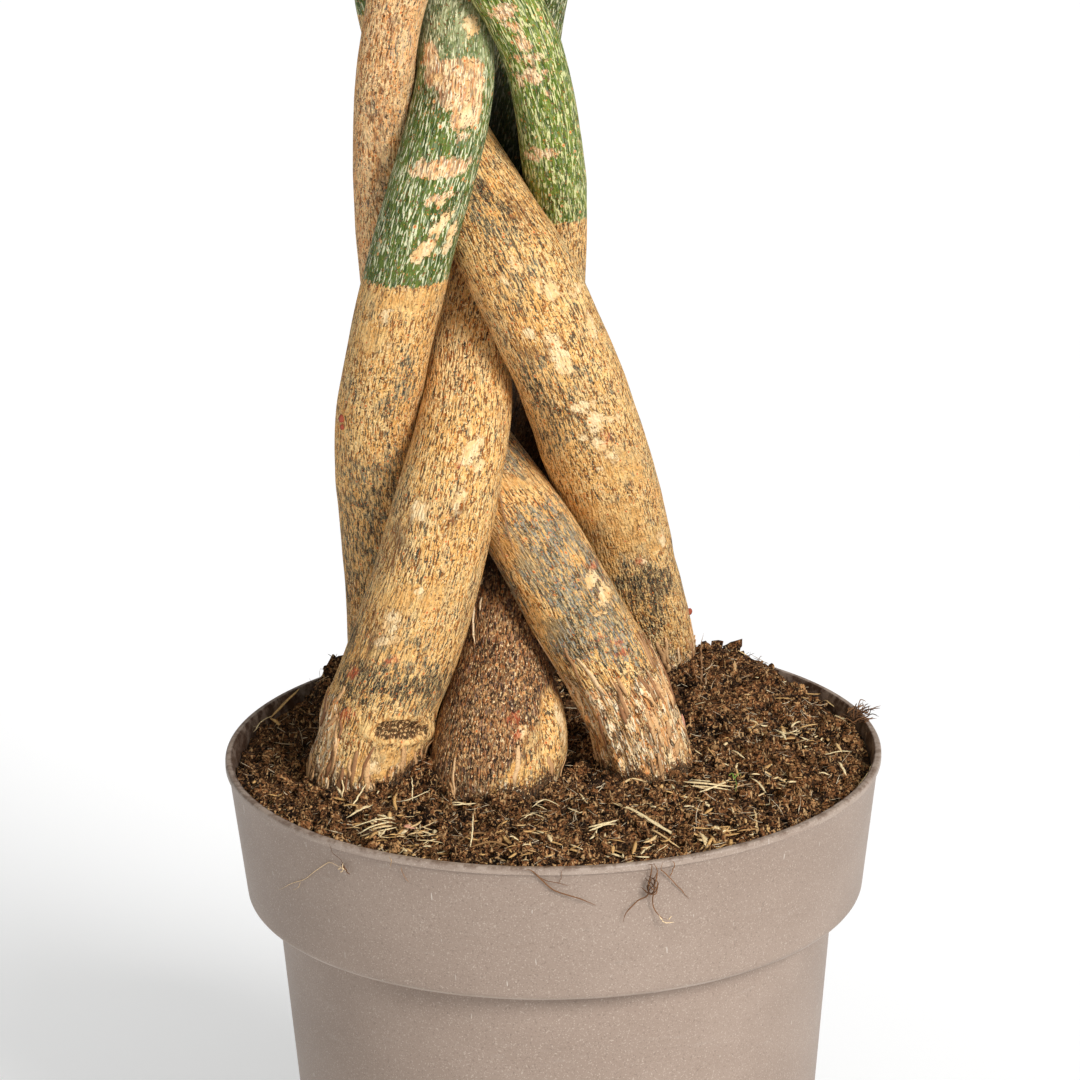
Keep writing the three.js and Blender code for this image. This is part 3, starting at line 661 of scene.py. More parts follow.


# Bark. Marks are named by the photo's pixels, on the trunk that shows there: x, y, width, height and, for some, tilt.
# Other heights are in millimetres, but for flakyRow, the photo's row where the flaky foot ends.

# The stretches of a trunk that lie behind the others, given by a lowest and a highest height, are painted dark as
# shade.
bark = {
    "left_front": {
        "greenAbove": 452, "flakyRow": 776, "flaky": 8, "flakyLeft": 26, "paintedShadeStretches": [(440, 535)],
        "cream": [(471, 452, 16, 30, -25), (480, 466, 9, 12), (458, 503, 8, 25, -12), (418, 511, 15, 21),
                  (391, 622, 17, 26), (386, 640, 26, 10, 20), (420, 591, 12, 8), (374, 768, 10, 14),
                  (383, 475, 5, 8)],
        "dark": [(398, 538, 14, 34), (455, 523, 12, 16), (389, 560, 10, 20), (370, 640, 10, 30)],
        "red": [(352, 672, 8, 12), (342, 715, 18, 10, 30), (393, 662, 8, 8), (460, 470, 4, 4)],
        "slate": [(390, 678, 130, 42), (356, 690, 34, 54), (440, 690, 40, 40), (352, 640, 22, 40),
                  (398, 648, 60, 16)],
        "deep": [(354, 684, 32, 66), (349, 622, 12, 30), (398, 690, 70, 22)],
        "plain": [(396, 768, 90, 44), (374, 652, 56, 12), (410, 600, 70, 30)],
        "scars": [(398, 730, 64, 24)],
    },
    "middle_front": {
        "greenAbove": 461, "flakyRow": 790, "flaky": 16, "paintedShadeStretches": [(296, 440)],
        "cream": [(522, 733, 8, 14), (558, 722, 7, 40)],
        "worn": [(503, 12, 26, 14, 30), (512, 26, 14, 10), (523, 46, 12, 18), (530, 60, 26, 8),
                 (533, 76, 18, 18, 20), (546, 73, 14, 8), (519, 80, 6, 16), (548, 94, 8, 8),
                 (541, 155, 26, 12), (532, 158, 12, 9), (560, 20, 5, 9)],
        "red": [(512, 717, 10, 8), (517, 735, 8, 8)],
        "yellowish": 1,
        "bulb": {"lowest": 232, "slant": 0.38, "middle": 450, "brownEnds": (420, 330),
                 "buttress": 546, "buttressRows": ((676, 700), (775, 750))},
    },
    "right_front": {
        "greenAbove": 622, "flakyRow": 684, "flaky": 12, "pinkish": (370, 450), "closed": 1,
        "cream": [(592, 579, 18, 12, 30), (604, 592, 20, 14, 40), (600, 614, 9, 4)],
        "dark": [(377, 112, 8, 26), (380, 160, 6, 40), (393, 30, 5, 12)],
        "red": [(599, 640, 5, 5), (616, 644, 6, 6), (621, 653, 7, 5), (596, 567, 6, 5)],
        "slate": [(552, 532, 76, 84), (580, 590, 84, 90), (606, 640, 90, 70), (512, 450, 60, 34),
                  (416, 40, 24, 90), (404, 110, 26, 90), (392, 170, 26, 70)],
        "deep": [(608, 668, 60, 26), (592, 572, 26, 50, -30), (512, 590, 12, 60), (566, 640, 26, 40)],
        "plain": [(521, 481, 60, 14), (511, 552, 26, 44), (548, 626, 22, 30)],
    },
    "right_back": {
        "greenAbove": 546, "flakyRow": 662, "flaky": 14,
        "cream": [(514, 262, 9, 18), (507, 284, 8, 14), (538, 285, 6, 16), (551, 293, 15, 22),
                  (577, 291, 12, 12), (529, 332, 10, 14), (556, 345, 14, 26, 20), (563, 360, 20, 30),
                  (592, 325, 6, 28, -10), (583, 408, 20, 12, 20), (596, 422, 16, 28), (601, 446, 13, 20),
                  (612, 456, 9, 18), (612, 418, 12, 10), (585, 440, 9, 9), (645, 562, 12, 9),
                  (663, 540, 6, 24), (600, 470, 8, 7), (635, 406, 5, 8)],
        "dark": [(517, 212, 8, 26), (530, 350, 18, 14)],
        "red": [(606, 440, 7, 10), (690, 612, 6, 6), (640, 560, 5, 5)],
        "slate": [(488, 205, 34, 90), (515, 290, 40, 80), (545, 370, 50, 60), (560, 430, 50, 70),
                  (650, 592, 60, 74)],
        "deep": [(651, 592, 44, 58), (640, 622, 40, 26), (548, 400, 26, 60, 30), (494, 200, 20, 70, 30)],
        "plain": [(612, 518, 64, 60), (598, 560, 30, 60), (640, 545, 50, 40), (625, 470, 40, 50)],
    },
    "left_back": {
        "greenAbove": 449, "flakyRow": 690, "flaky": 10, "pale": (520, 550),
        "cream": [(437, 77, 11, 13), (466, 115, 13, 22), (424, 252, 17, 26, -30), (440, 226, 10, 30, -35),
                  (452, 234, 6, 22, -25), (446, 247, 7, 12, -30), (470, 25, 12, 22), (385, 316, 10, 13),
                  (389, 347, 7, 9), (441, 203, 9, 8)],
        "worn": [(430, 58, 16, 30), (453, 73, 66, 34), (463, 96, 46, 30), (467, 114, 28, 26),
                 (440, 170, 62, 20), (462, 137, 12, 10), (438, 201, 22, 9, 20), (427, 246, 12, 22, -30)],
        "dark": [(438, 94, 12, 14, 10), (427, 80, 4, 10)],
        "slate": [(362, 520, 50, 190), (398, 470, 50, 70), (400, 385, 30, 50)],
        "deep": [(352, 600, 26, 60)], "plain": [(402, 302, 90, 26), (372, 340, 30, 30)],
    },
}

barkSize = {
    "pixelsPerMm": 2.5, "faces": 0.1, "narrowest": 0.5,  # of the photo's marks
    "boxy": 2.8, "outside": -9.0,  # a mark's corners, and its field where it isn't
    # painted shade on the bark: full within gapTo mm of another trunk and gone by gapFrom, and on the stretches behind
    # the others, on their side towards the camera, fading in over some millimetres at each end
    "gapFrom": 3.3, "gapTo": 0.5, "gapShadeStrength": 0.78, "shadeFacing": (-0.5, 0.2), "shadeFade": 25, "behindShadeStrength": 0.9,
    "wildMarks": 11, "apart": 400,  # seeded marks on each trunk, and how far apart the trunks' patterns lie
    "ragged": (5, 18, 30, 0), "tongues": (30, 7, 70, 6),  # height, lumps round the trunk, their length and seed
    "knobs": ((0.5, 5, 38, 1), (0.25, 9, 14, 2)),
    "ridges": ((1.1, 26, 26, 3), (0.66, 52, 13, 4)), "strips": (1.4, 36, 11, 5),
}


def markField(spots, phi, radius, tall):
    # how deep a place lies inside the nearest mark, in mm: one less its distance over the mark's size, each way
    field = np.full(phi.shape, barkSize["outside"])
    boxy = barkSize["boxy"]
    for angle, height, wide, high, *tilt in spots:
        across = radius * ((phi - angle + np.pi) % (2 * np.pi) - np.pi)
        up = tall - height
        turn = math.radians(sum(tilt))
        a, b = across * math.cos(turn) + up * math.sin(turn), up * math.cos(turn) - across * math.sin(turn)
        share = (np.abs(2 * a / wide) ** boxy + np.abs(2 * b / high) ** boxy) ** (1 / boxy)
        field = np.maximum(field, (1 - share) * min(wide, high) / 2)
    return field


def seenSpots(spots, points, facing, phi, tall):
    # the place on the skin that faces the camera and shows nearest to the mark's pixel
    if not spots:
        return []
    pixels = np.array([spot[:2] for spot in spots], float)
    at = shownAt(points.reshape(-1, 3), pixels, facing.ravel() > barkSize["faces"])
    scale = barkSize["pixelsPerMm"]
    turned = np.maximum(facing.ravel()[at], barkSize["narrowest"])
    return [(phi.flat[i], tall.flat[i], wide / scale / narrow, high / scale, *tilt)
            for i, narrow, (_, _, wide, high, *tilt) in zip(at, turned, spots)]


def wildSpots(seed, highest, greenFrom):
    # seeded marks where the photo shows nothing: on the back, and all round higher up
    shares = np.random.default_rng(seed).uniform(0, 1, (barkSize["wildMarks"], 5))

    def spread(shares, *ranges):  # of the angle, the length up the trunk, the width, the height and the tilt
        return [[mix(low, high, share) for (low, high), share in zip(ranges, row)] for row in shares]

    hidden = spread(shares, (0.12 * math.pi, 0.88 * math.pi), (70, 0.62 * highest), (4, 11), (5, 17), (-30, 30))
    high = spread(1 - shares, (0, 2 * math.pi), (0.6 * highest, highest), (3, 9), (4, 14), (-30, 30))
    return {
        "cream": hidden[::2] + high[::2],
        "worn": high[1::2] + [spot for spot in hidden if spot[1] > greenFrom],
        "slate": [(angle, up, 4 * wide, 4 * tall) for angle, up, wide, tall, _ in hidden[1::2]],
        "deep": [(angle, up, 2 * wide, 3 * tall) for angle, up, wide, tall, _ in hidden[1::4]],
    }


def paintedShadeField(name, points, heights, facing):
    # painted shade: dark where another trunk touches, less so up to some millimetres off it, and on stretches that lie
    # behind the others, on their side towards the camera
    field = np.zeros(points.shape[:2])
    for other, track in tracks.items():
        if other != name:
            line = curveThrough(track, heights)[:, None]
            away = np.hypot(points[..., 0] - line[..., 1], points[..., 1] - line[..., 2]) - line[..., 3]
            field = np.maximum(field, barkSize["gapShadeStrength"] * smoothStep(barkSize["gapFrom"], barkSize["gapTo"], away))
    for low, high in bark[name].get("paintedShadeStretches", []):
        fade, level = barkSize["shadeFade"], points[..., 2]
        dark = smoothStep(low, low + fade, level) * smoothStep(high, high - fade, level)
        field = np.maximum(field, barkSize["behindShadeStrength"] * dark * smoothStep(*barkSize["shadeFacing"], facing))
    return field


def scarRelief(x, y, wide, high, columns, rows, facing):
    # a healed branch scar: a raised ring round a sunken middle, with ripples off it; share is 1 on the ring
    share = np.hypot((columns - x) / (wide / 2), (rows - y) / (high / 2)) + np.where(facing > 0, 0, 9)
    share += 0.09 * lumps(columns / 9, rows / 6, 90)
    below = 0.7 + 0.6 * smoothStep(-0.5, 0.5, (rows - y) / high)
    ring = below * 1.9 * bell(share - 1, 0.2) + 0.6 * np.sin(17 * share) * bell(share - 1.5, 0.35)
    return share, ring - 1.6 * smoothStep(0.95, 0.6, share) * (1 + 0.6 * lumps(columns / 5, rows / 3, 92))


def trunkLine(name):
    # the heights of the skin's rows, and the trunk's middle and radius there; the kinks that settling leaves are eased
    top = braid["top"][name]
    heights = np.concatenate([np.arange(*span) for span in trunk["rows"]])
    heights = np.append(heights[heights < top - 1], top - 0.8)
    track = tracks[name].copy()
    for axis in (1, 2):
        track[1:-1, axis] = 0.25 * track[:-2, axis] + 0.5 * track[1:-1, axis] + 0.25 * track[2:, axis]
    return heights, curveThrough(track, heights)


skins = {}


def trunkSkin(name, seed):
    settings = bark[name]
    heights, line = trunkLine(name)
    slope = np.gradient(line[:, 1:3], heights, axis=0)
    steep = np.hypot(*slope.T)
    way = (slope / np.maximum(steep, 1e-6)[:, None])[:, None, :]
    phi = turns(trunk["around"])[None, :] + 0 * heights[:, None]
    ring = np.stack([np.cos(phi), np.sin(phi)], -1)
    tall = np.cumsum(np.diff(heights, prepend=heights[0]) * np.hypot(1, steep))[:, None] + 0 * phi
    radius = (line[:, 3] + trunk["thicker"])[:, None] + 0 * phi
    longer = (np.hypot(1, steep) - 1)[:, None] * (ring * way).sum(-1)  # a level cut of a leaning trunk is longer

    def skin(extra):
        # the trunk's middle, and the radius and what is extra along each row's ring
        flat = line[:, None, 1:3] + (radius + extra)[..., None] * (ring + longer[..., None] * way)
        return np.concatenate([flat, heights[:, None, None] + 0 * phi[..., None]], -1)

    def bumps(height, around, length, more):
        # a height times lumps over the angle round the trunk and the length up it
        return height * lumps(phi / (2 * np.pi) * around, tall / length, seed + more, around)

    bare = skin(0)
    columns, rows = toPhoto(bare)
    toCamera = -np.array(view["ahead"])
    facing = ring @ toCamera[:2] / np.hypot(*toCamera[:2])
    front = np.abs(phi - 1.5 * np.pi).argmin(1)
    level = heights[:, None] + 0 * phi
    ragged = bumps(*barkSize["ragged"])

    wild = wildSpots(seed, tall.max(), np.interp(settings["greenAbove"], heights, tall[:, 0]))
    fields = {}
    for kind in ("cream", "worn", "dark", "red", "slate", "deep", "plain"):
        spots = seenSpots(settings.get(kind, []), bare, facing, phi, tall) + wild.get(kind, [])
        fields[kind] = markField(spots, phi, radius, tall)
    flakyTop = np.interp(-settings["flakyRow"], -rows[np.arange(len(heights)), front], heights)
    flakyTop = flakyTop + settings.get("flakyLeft", 0) * smoothStep(-0.45, -0.9, ring[..., 0])
    fields["flaky"] = smoothStep(settings["flaky"], -settings["flaky"], level - flakyTop + ragged)
    fields["soiled"] = smoothStep(9, -3, level - heaped(bare[..., 0], bare[..., 1]) + 0.8 * ragged)
    fields["green"] = level - settings["greenAbove"] + bumps(*barkSize["tongues"]) * smoothStep(0.1, -0.5, facing)
    fields["crevice"] = paintedShadeField(name, bare, heights, facing)
    for kind in ("pinkish", "pale"):
        fields[kind] = smoothStep(*settings[kind], level) if kind in settings else 0 * phi
    for kind in ("yellowish", "closed"):
        fields[kind] = np.full_like(phi, settings.get(kind, 0))
    fields["cut"], fields["brown"], fields["scar"] = 0 * phi, 0 * phi, np.full_like(phi, barkSize["outside"])

    relief = sum(bumps(*knob) for knob in barkSize["knobs"])
    high, *strips = barkSize["strips"]
    rough = sum(bumps(*ridge) for ridge in barkSize["ridges"]) + high * (0.5 - np.abs(bumps(1, *strips)))
    relief += fields["flaky"] * rough
    for scar in settings.get("scars", []):
        share, ringed = scarRelief(*scar, columns, rows, facing)
        relief += ringed
        fields["scar"] = 1 - share
    if "bulb" in settings:  # its brown reaches lower on the left, and it has a narrow buttress on the right
        bulb = settings["bulb"]
        lowest = bulb["lowest"] + bulb["slant"] * (columns - bulb["middle"])
        fields["brown"] = smoothStep(-14, 14, level - lowest + 3 * ragged) * smoothStep(*bulb["brownEnds"], level)
        starts, ends = bulb["buttressRows"]
        beside = smoothStep(*starts, rows) * smoothStep(*ends, rows) * (facing > -0.2)
        column = bulb["buttress"]
        relief += beside * (1.6 * smoothStep(column, column + 10, columns) - 2.4 * bell(columns - column, 4.5))
    # how far the skin sinks; on the flaky foot the finish darkens it where it sinks, as painted shade in the hollows
    fields["low"] = -relief

    def capped(rings, middle, lifted):
        # the cut top: the last ring again, drawn in towards the middle
        return np.concatenate([rings, [middle + (rings[-1] - middle) * (share, share, 1) + (0, 0, lift * lifted)
                                       for share, lift in trunk["cap"]]])

    skinPoints = skin(relief)
    apart = barkSize["apart"] * seed
    grown = capped(roundPoints(radius, phi, tall) + apart, np.full(3, float(apart)), 0)
    skins[name] = {"points": skinPoints, "out": ring, "facing": facing, "flaky": fields["flaky"], "heights": heights}
    caps = len(trunk["cap"])
    fields = {key: np.concatenate([field, np.repeat(field[-1:], caps, 0)]) for key, field in fields.items()}
    fields["cut"][-caps:] = 1
    return capped(skinPoints, skinPoints[-1].mean(0), 1), grown, fields


barkLook = {
    "patterns": {  # one lump's size in mm, detail, roughness, shift
        "broad": ((22, 22, 50), 3.0, 0.55), "patchy": ((9, 9, 16), 3.0, 0.6, 31.0),
        "mottle": ((3.6, 3.6, 7), 4.0, 0.7, 3.0), "ragged": ((2.4, 2.4, 3.6), 4.0, 0.7, 29.0),
        "crumb": ((1.3, 1.3, 1.5), 3.0, 0.7, 43.0),
        ("greyLine", "brownLine", "paleLine"): ((0.78, 0.78, 4.4), 1.0, 0.5, 23.0),
        ("darkDot", "orangeDot", "paleDot"): ((0.78, 0.78, 1.2), 1.0, 0.5, 7.0),
        ("grit", "darkGrit", "brightGrit"): ((0.85, 0.85, 1.9), 2.0, 0.6, 83.0),
        ("island", "net", "tuft"): ((1.3, 1.3, 6.0), 3.0, 0.7, 11.0),
        ("longNet", "longFleck", "longGap"): ((1.5, 1.5, 11.0), 1.5, 0.5, 61.0),
    },
    "pores": (3.6, 3.6, 4.6),
    "warp": ((4, 4, 7), 2.0, 0.6, 51.0), "warpBy": (2.4, 2.4, 5.0),  # bends the flakes and cracks of the feet
    "plates": ((3.4, 3.4, 9.0), 2.0, 0.5, 5.0), "cracks": ((3.0, 3.0, 17.0), 3.0, 0.6, 71.0),
    "insides": {  # mark, half the width of its edge in mm, how ragged that is, and how far strips break it
        "inPlain": ("plain", 3.0, 18.0, 8.0), "inDark": ("dark", 3.0, 22.0, 22.0), "inRed": ("red", 1.5, 12.0, 3.0),
        "inWorn": ("worn", 0.3, 8.0, 3.0), "softWorn": ("worn", 0.8, 8.0, 3.0),
        "inCream": ("cream", 0.2, 8.0, 3.0), "softCream": ("cream", 0.5, 8.0, 3.0),
        "creamEdge": ("cream", 0.3, 8.0, 3.0), "roundCream": ("cream", 1.1, 8.0, 3.0),
    },
}

barkCoats = {  # a tone, then layers: tone, share, and what each shows on
    "pinkTan": [(236, 170, 108), ((254, 210, 156), 1, ("mottle", 0.42, 0.58))],
    "slateTone": [(66, 68, 58), ((120, 118, 100), 1, ("mottle", 0.38, 0.62)), ((38, 38, 32), 0.85, "deepDepth")],
    "bulb": [
        (78, 54, 42),
        ((136, 98, 68), 1, ("mottle", 0.42, 0.6)),
        ((56, 40, 32), 0.7, ("patchy", 0.53, 0.6)),
        ((172, 122, 80), 0.5, ("broad", 0.52, 0.6)),
    ],
    "greyTone": [(62, 60, 52), ((146, 146, 134), 1, "closed", "slateDepth")],
    "lineTone": [(96, 64, 38), ((226, 184, 118), 1, "slateDepth")],
    "tan": [
        (230, 174, 102),
        ((253, 207, 136), 1, ("mottle", 0.42, 0.58)),
        ((240, 178, 100), 0.6, ("broad", 0.46, 0.6)),
        ((218, 190, 138), 0.5, ("patchy", 0.52, 0.62)),
        ("pinkTan", 0.9, "pinkish"),
        ((212, 176, 98), 0.3, ("island", 0.44, 0.36)),
        ("slateTone", 0.95, "slateIsland"),
        ("bulb", 0.95, "isBrown"),
        ("greyTone", 1, "darkLine", "greyShare", "busy"),
        ((146, 88, 42), 1, ("brownLine", 0.58, 0.605), "brownShare", "fewer"),
        ((254, 214, 150), 1, ("paleLine", 0.58, 0.605), "paleShare", "fewer"),
        ((160, 150, 150), 0.5, "pinkish", "besideLine"),
        ((46, 33, 24), 0.9, ("darkDot", 0.65, 0.675), "busy"),
        ((222, 122, 54), 0.8, ("orangeDot", 0.66, 0.69), "fewer"),
        ((255, 226, 168), 1, ("paleDot", 0.64, 0.665), "paleShare", "fewer"),
        ((214, 160, 104), 0.85, "isBrown", ("gritPatch", 0.55, 0.59)),
        ((178, 112, 62), 0.75, "isBrown", ("brownLine", 0.57, 0.6)),
        ((46, 32, 26), 0.85, "isBrown", ("greyLine", 0.57, 0.6)),
        ((150, 126, 118), 0.35, "isBrown", ("island", 0.57, 0.6)),
        ((38, 24, 17), 0.9, "isBrown", ("darkGrit", 0.56, 0.6)),
        ((255, 220, 168), 0.95, "isBrown", ("brightGrit", 0.62, 0.65)),
        ("lineTone", 0.85, "tuftLine", "busy"),
    ],
    "limeGreen": [(96, 122, 36), ((146, 158, 66), 1, ("mottle", 0.4, 0.6))],
    "paleGreen": [(236, 234, 192), ((226, 224, 160), 1, "yellowish")],
    "green": [  # packed with pale lines that meet
        (62, 84, 30),
        ((98, 116, 48), 1, ("mottle", 0.4, 0.6)),
        ((118, 134, 62), 0.4, ("broad", 0.44, 0.6)),
        ("limeGreen", 0.6, "yellowish"),
        ((40, 60, 26), 0.7, ("longGap", 0.53, 0.6)),
        ((128, 140, 110), 0.6, ("greyLine", 0.57, 0.61)),
        ((214, 136, 60), 0.8, ("orangeDot", 0.66, 0.7)),
        ((222, 218, 170), 0.6, ("fleckPatch", 0.68, 0.71)),
        ((220, 220, 172), 0.7, "longLine"),
        ("paleGreen", 0.88, ("greenLine", 0.58, 0.61)),
        ((204, 204, 158), 1, "pale", "bloom"),
    ],
    "worn": [
        (234, 182, 124),
        ((255, 226, 176), 1, ("mottle", 0.4, 0.6)),
        ((255, 242, 214), 0.8, "wideLine"),
        ((150, 112, 88), 0.7, ("greyLine", 0.57, 0.62)),
        ((206, 126, 70), 0.7, ("brownLine", 0.57, 0.62)),
        ((96, 86, 60), 0.6, ("longGap", 0.62, 0.66)),
    ],
    "cream": [
        (246, 200, 138),
        ((255, 226, 176), 1, ("mottle", 0.4, 0.62)),
        ((226, 170, 104), 0.35, ("brownLine", 0.6, 0.64)),
    ],
    "darkTone": [(70, 42, 28), ((150, 98, 60), 1, ("greyLine", 0.45, 0.6))],
    "ringTone": [(248, 206, 138), ((206, 146, 82), 1, ("brownLine", 0.5, 0.6))],
    "scarTone": [
        (112, 74, 46),
        ((42, 25, 17), 1, ("darkGrit", 0.4, 0.5)),
        ((226, 184, 128), 1, ("paleDot", 0.56, 0.62)),
    ],
    "flake": [  # the flaky foot: pale and orange flakes with long dark cracks between them
        (218, 166, 106),
        ((248, 210, 152), 1, ("mottle", 0.42, 0.6)),
        ((252, 224, 176), 0.8, ("palePlate", 0.53, 0.56)),
        ((222, 152, 88), 0.7, ("orangePlate", 0.56, 0.6)),
        ((124, 84, 56), 0.7, ("brownPlate", 0.6, 0.63)),
        ((128, 94, 68), 0.7, ("greyLine", 0.59, 0.62)),
        ((222, 124, 68), 0.8, ("orangeDot", 0.62, 0.66)),
        ((56, 36, 24), 0.8, ("darkDot", 0.64, 0.67)),
        ((255, 236, 200), 0.85, ("paleLine", 0.58, 0.62)),
        ((58, 36, 22), 0.85, "crack"),
    ],
    "soilTone": [(38, 24, 15), ((126, 88, 56), 1, ("crumb", 0.5, 0.6))],
    # painted shade: nearly black, greener on the green bark
    "shadeTone": [(36, 22, 12), ((12, 16, 8), 1, "isGreen")],
    "cutTone": [(186, 158, 112), ((216, 194, 150), 1, "mottle")],
    "whole": [
        "tan",
        ("green", 1, "isGreen"),
        ("worn", 1, "inWorn"),
        ((140, 78, 46), 0.85, "creamRim"),
        ("cream", 1, "inCream"),
        ("darkTone", 0.6, "inDark"),
        ((206, 92, 56), 1, "inRed", "redShare"),
        ("ringTone", 0.85, ("scar", -0.3, -0.12)),
        ("scarTone", 0.92, ("scar", 0.1, 0.2)),
        ((236, 190, 128), 0.75, ("pore", 0.24, 0.19), "hasPore"),
        ((220, 112, 52), 0.9, ("pore", 0.14, 0.1), "hasPore"),
        ("flake", 1, "flaky", "flakeShare"),
        ("soilTone", 0.95, ("clinging", 0.6, 0.64)),
        # painted shade where the trunks meet and behind the others
        ("shadeTone", 0.9, "crevice"),
        # painted shade in the hollows of the flaky foot
        ((70, 44, 27), 0.5, ("low", 0.9, 2.2), "flaky"),
        ("cutTone", 1, ("cut", 0.4, 0.6)),
    ],
}


def barkFinish():
    finish, wire = newFinish("barkOfTrunk")
    place = wire.mark("grown", 1)
    parts = findPatterns(place, barkLook["patterns"])
    for mark in ("pinkish", "closed", "brown", "yellowish", "pale", "soiled", "low", "cut"):
        parts[mark] = wire.mark(mark)
    mottle, patchy, ragged, net = (parts[name] - 0.5 for name in ("mottle", "patchy", "ragged", "net"))
    pinkish, closed, brown = parts["pinkish"], parts["closed"], parts["brown"]

    def ridge(noise, half):
        # 1 on the thin lines where a noise passes its middle
        return (noise - 0.5).size().step(half, half * 0.35)

    for name, (mark, soft, rough, strips) in barkLook["insides"].items():
        parts[name] = (wire.mark(mark) + ragged * rough + net * strips).step(-soft, soft)
    parts["creamRim"] = parts["roundCream"] * (1 - parts["creamEdge"])
    parts["redShare"] = 0.35 + 0.4 * parts["greyLine"].step(0.4, 0.6)

    # slate islands on the tan, and specks and short lines of other colours over both, fewer where it is plain
    slate = parts["slateDepth"] = (wire.mark("slate") + patchy * 26.0 + mottle * 14.0).step(-4.0, 4.0)
    deep = parts["deepDepth"] = (wire.mark("deep") + patchy * 20.0 + (parts["island"] - 0.5) * 20.0).step(-2.0, 2.0)
    busy = parts["busy"] = 1 - 0.7 * parts["inPlain"]
    covered = (slate * 0.1 + deep * 0.078 + closed * slate * 0.055) * (1 - 0.9 * pinkish)
    parts["slateIsland"] = (parts["island"] + covered + patchy * 0.3).step(0.605, 0.63) * (0.4 + 0.6 * busy)
    parts["fewer"] = busy * (1 - 0.6 * brown)
    parts["isBrown"] = (brown + mottle * 1.4).step(0.2, 0.75)
    parts["darkLine"] = (parts["greyLine"] + slate * 0.045 + deep * 0.03).step(0.58, 0.605)
    parts["greyShare"], parts["brownShare"] = 0.85 - 0.45 * pinkish, 0.9 - 0.6 * slate
    parts["paleShare"] = 0.85 - 0.45 * slate
    parts["besideLine"] = parts["paleLine"].step(0.55, 0.58) - parts["paleLine"].step(0.58, 0.61)
    parts["gritPatch"] = parts["grit"] - patchy * 0.5
    parts["tuftLine"] = ridge(parts["tuft"], 0.008 + 0.007 * slate)

    isGreen = parts["isGreen"] = (wire.mark("green") + ragged * 7.0 + net * 5.0).step(-0.3, 0.3)
    parts["fleckPatch"] = parts["longFleck"] + patchy * 0.5
    parts["longLine"], parts["wideLine"] = ridge(parts["longNet"], 0.008), ridge(parts["longNet"], 0.02)
    parts["greenLine"] = parts["paleLine"] + 0.012 * parts["yellowish"]
    parts["bloom"] = 0.15 + 0.4 * parts["mottle"].step(0.4, 0.6)

    # the branch scar, 1 in its middle and 0 at its edge, and the pores, which only some of the dots have
    parts["scar"] = wire.mark("scar") + ragged * 0.9 + mottle * 0.6
    parts["pore"] = place.dots(barkLook["pores"])
    parts["hasPore"] = place.dots(barkLook["pores"], 1).parted("ShaderNodeSeparateColor")[0].step(0.56, 0.58)

    flaky = parts["flaky"] = (wire.mark("flaky") + ragged * 1.4 + patchy * 1.2).step(0.4, 0.56)
    parts["flakeShare"] = 0.95 - 0.5 * brown
    warped = wire.node("ShaderNodeVectorMath", {"operation": "MULTIPLY_ADD"},
                       {0: place.noise(*barkLook["warp"], 1), 1: barkLook["warpBy"], 2: place})
    plates = parts["palePlate"], parts["orangePlate"], parts["brownPlate"] = warped.noises(*barkLook["plates"])
    crack = parts["crack"] = ridge(warped.noise(*barkLook["cracks"]), 0.02)
    parts["clinging"] = parts["soiled"] * 0.3 + parts["crumb"]
    # painted shade between the trunks and behind them, with a ragged edge
    parts["crevice"] = (wire.mark("crevice") + ragged * 0.9).step(0.25, 0.95)

    for name, coat in barkCoats.items():
        parts[name] = coated(wire, parts, coat)
    rough = 0.7 + 0.18 * parts["mottle"].step(0.3, 0.7) - 0.12 * isGreen
    relief = (parts["paleLine"] * 1.1 - parts["greyLine"] * 1.1 - parts["darkDot"] * 0.9 + parts["mottle"] * 0.6
              - parts["softCream"] * 0.35 - parts["softWorn"] * 0.3 + flaky * (plates[0] * 2.0 - crack * 1.2)
              + parts["soiled"] * parts["crumb"] * 1.2)
    return applyFinish(finish, wire, parts["whole"], rough, relief, 0.0008, 1.0, 0.16)


def makeTrunks(finish):
    for seed, name in enumerate(ways):
        points, grown, fields = trunkSkin(name, seed + 1)
        marks = {key: np.append(field.ravel(), [field[0, 0], field[-1, 0]]) for key, field in fields.items()}
        marks["grown"] = withMiddles(grown)
        faces = closedFaces(*points.shape[:2])
        piece = makePiece("trunkSkin_" + name, withMiddles(points), faces, finish, "bark", marks)
        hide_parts("trunk_" + name)


makeTrunks(barkFinish())
print("trunks made")


# Leaves: the solids' plan, with finer blades

shoot = {
    "apart": 4.6, "length": (275, 150), "longer": (0.92, 1.08), "lean": (10, 42), "radius": (3.9, 2.1), "spread": 18,
    "sides": 14, "steps": 24, "gap": 0.3,
}

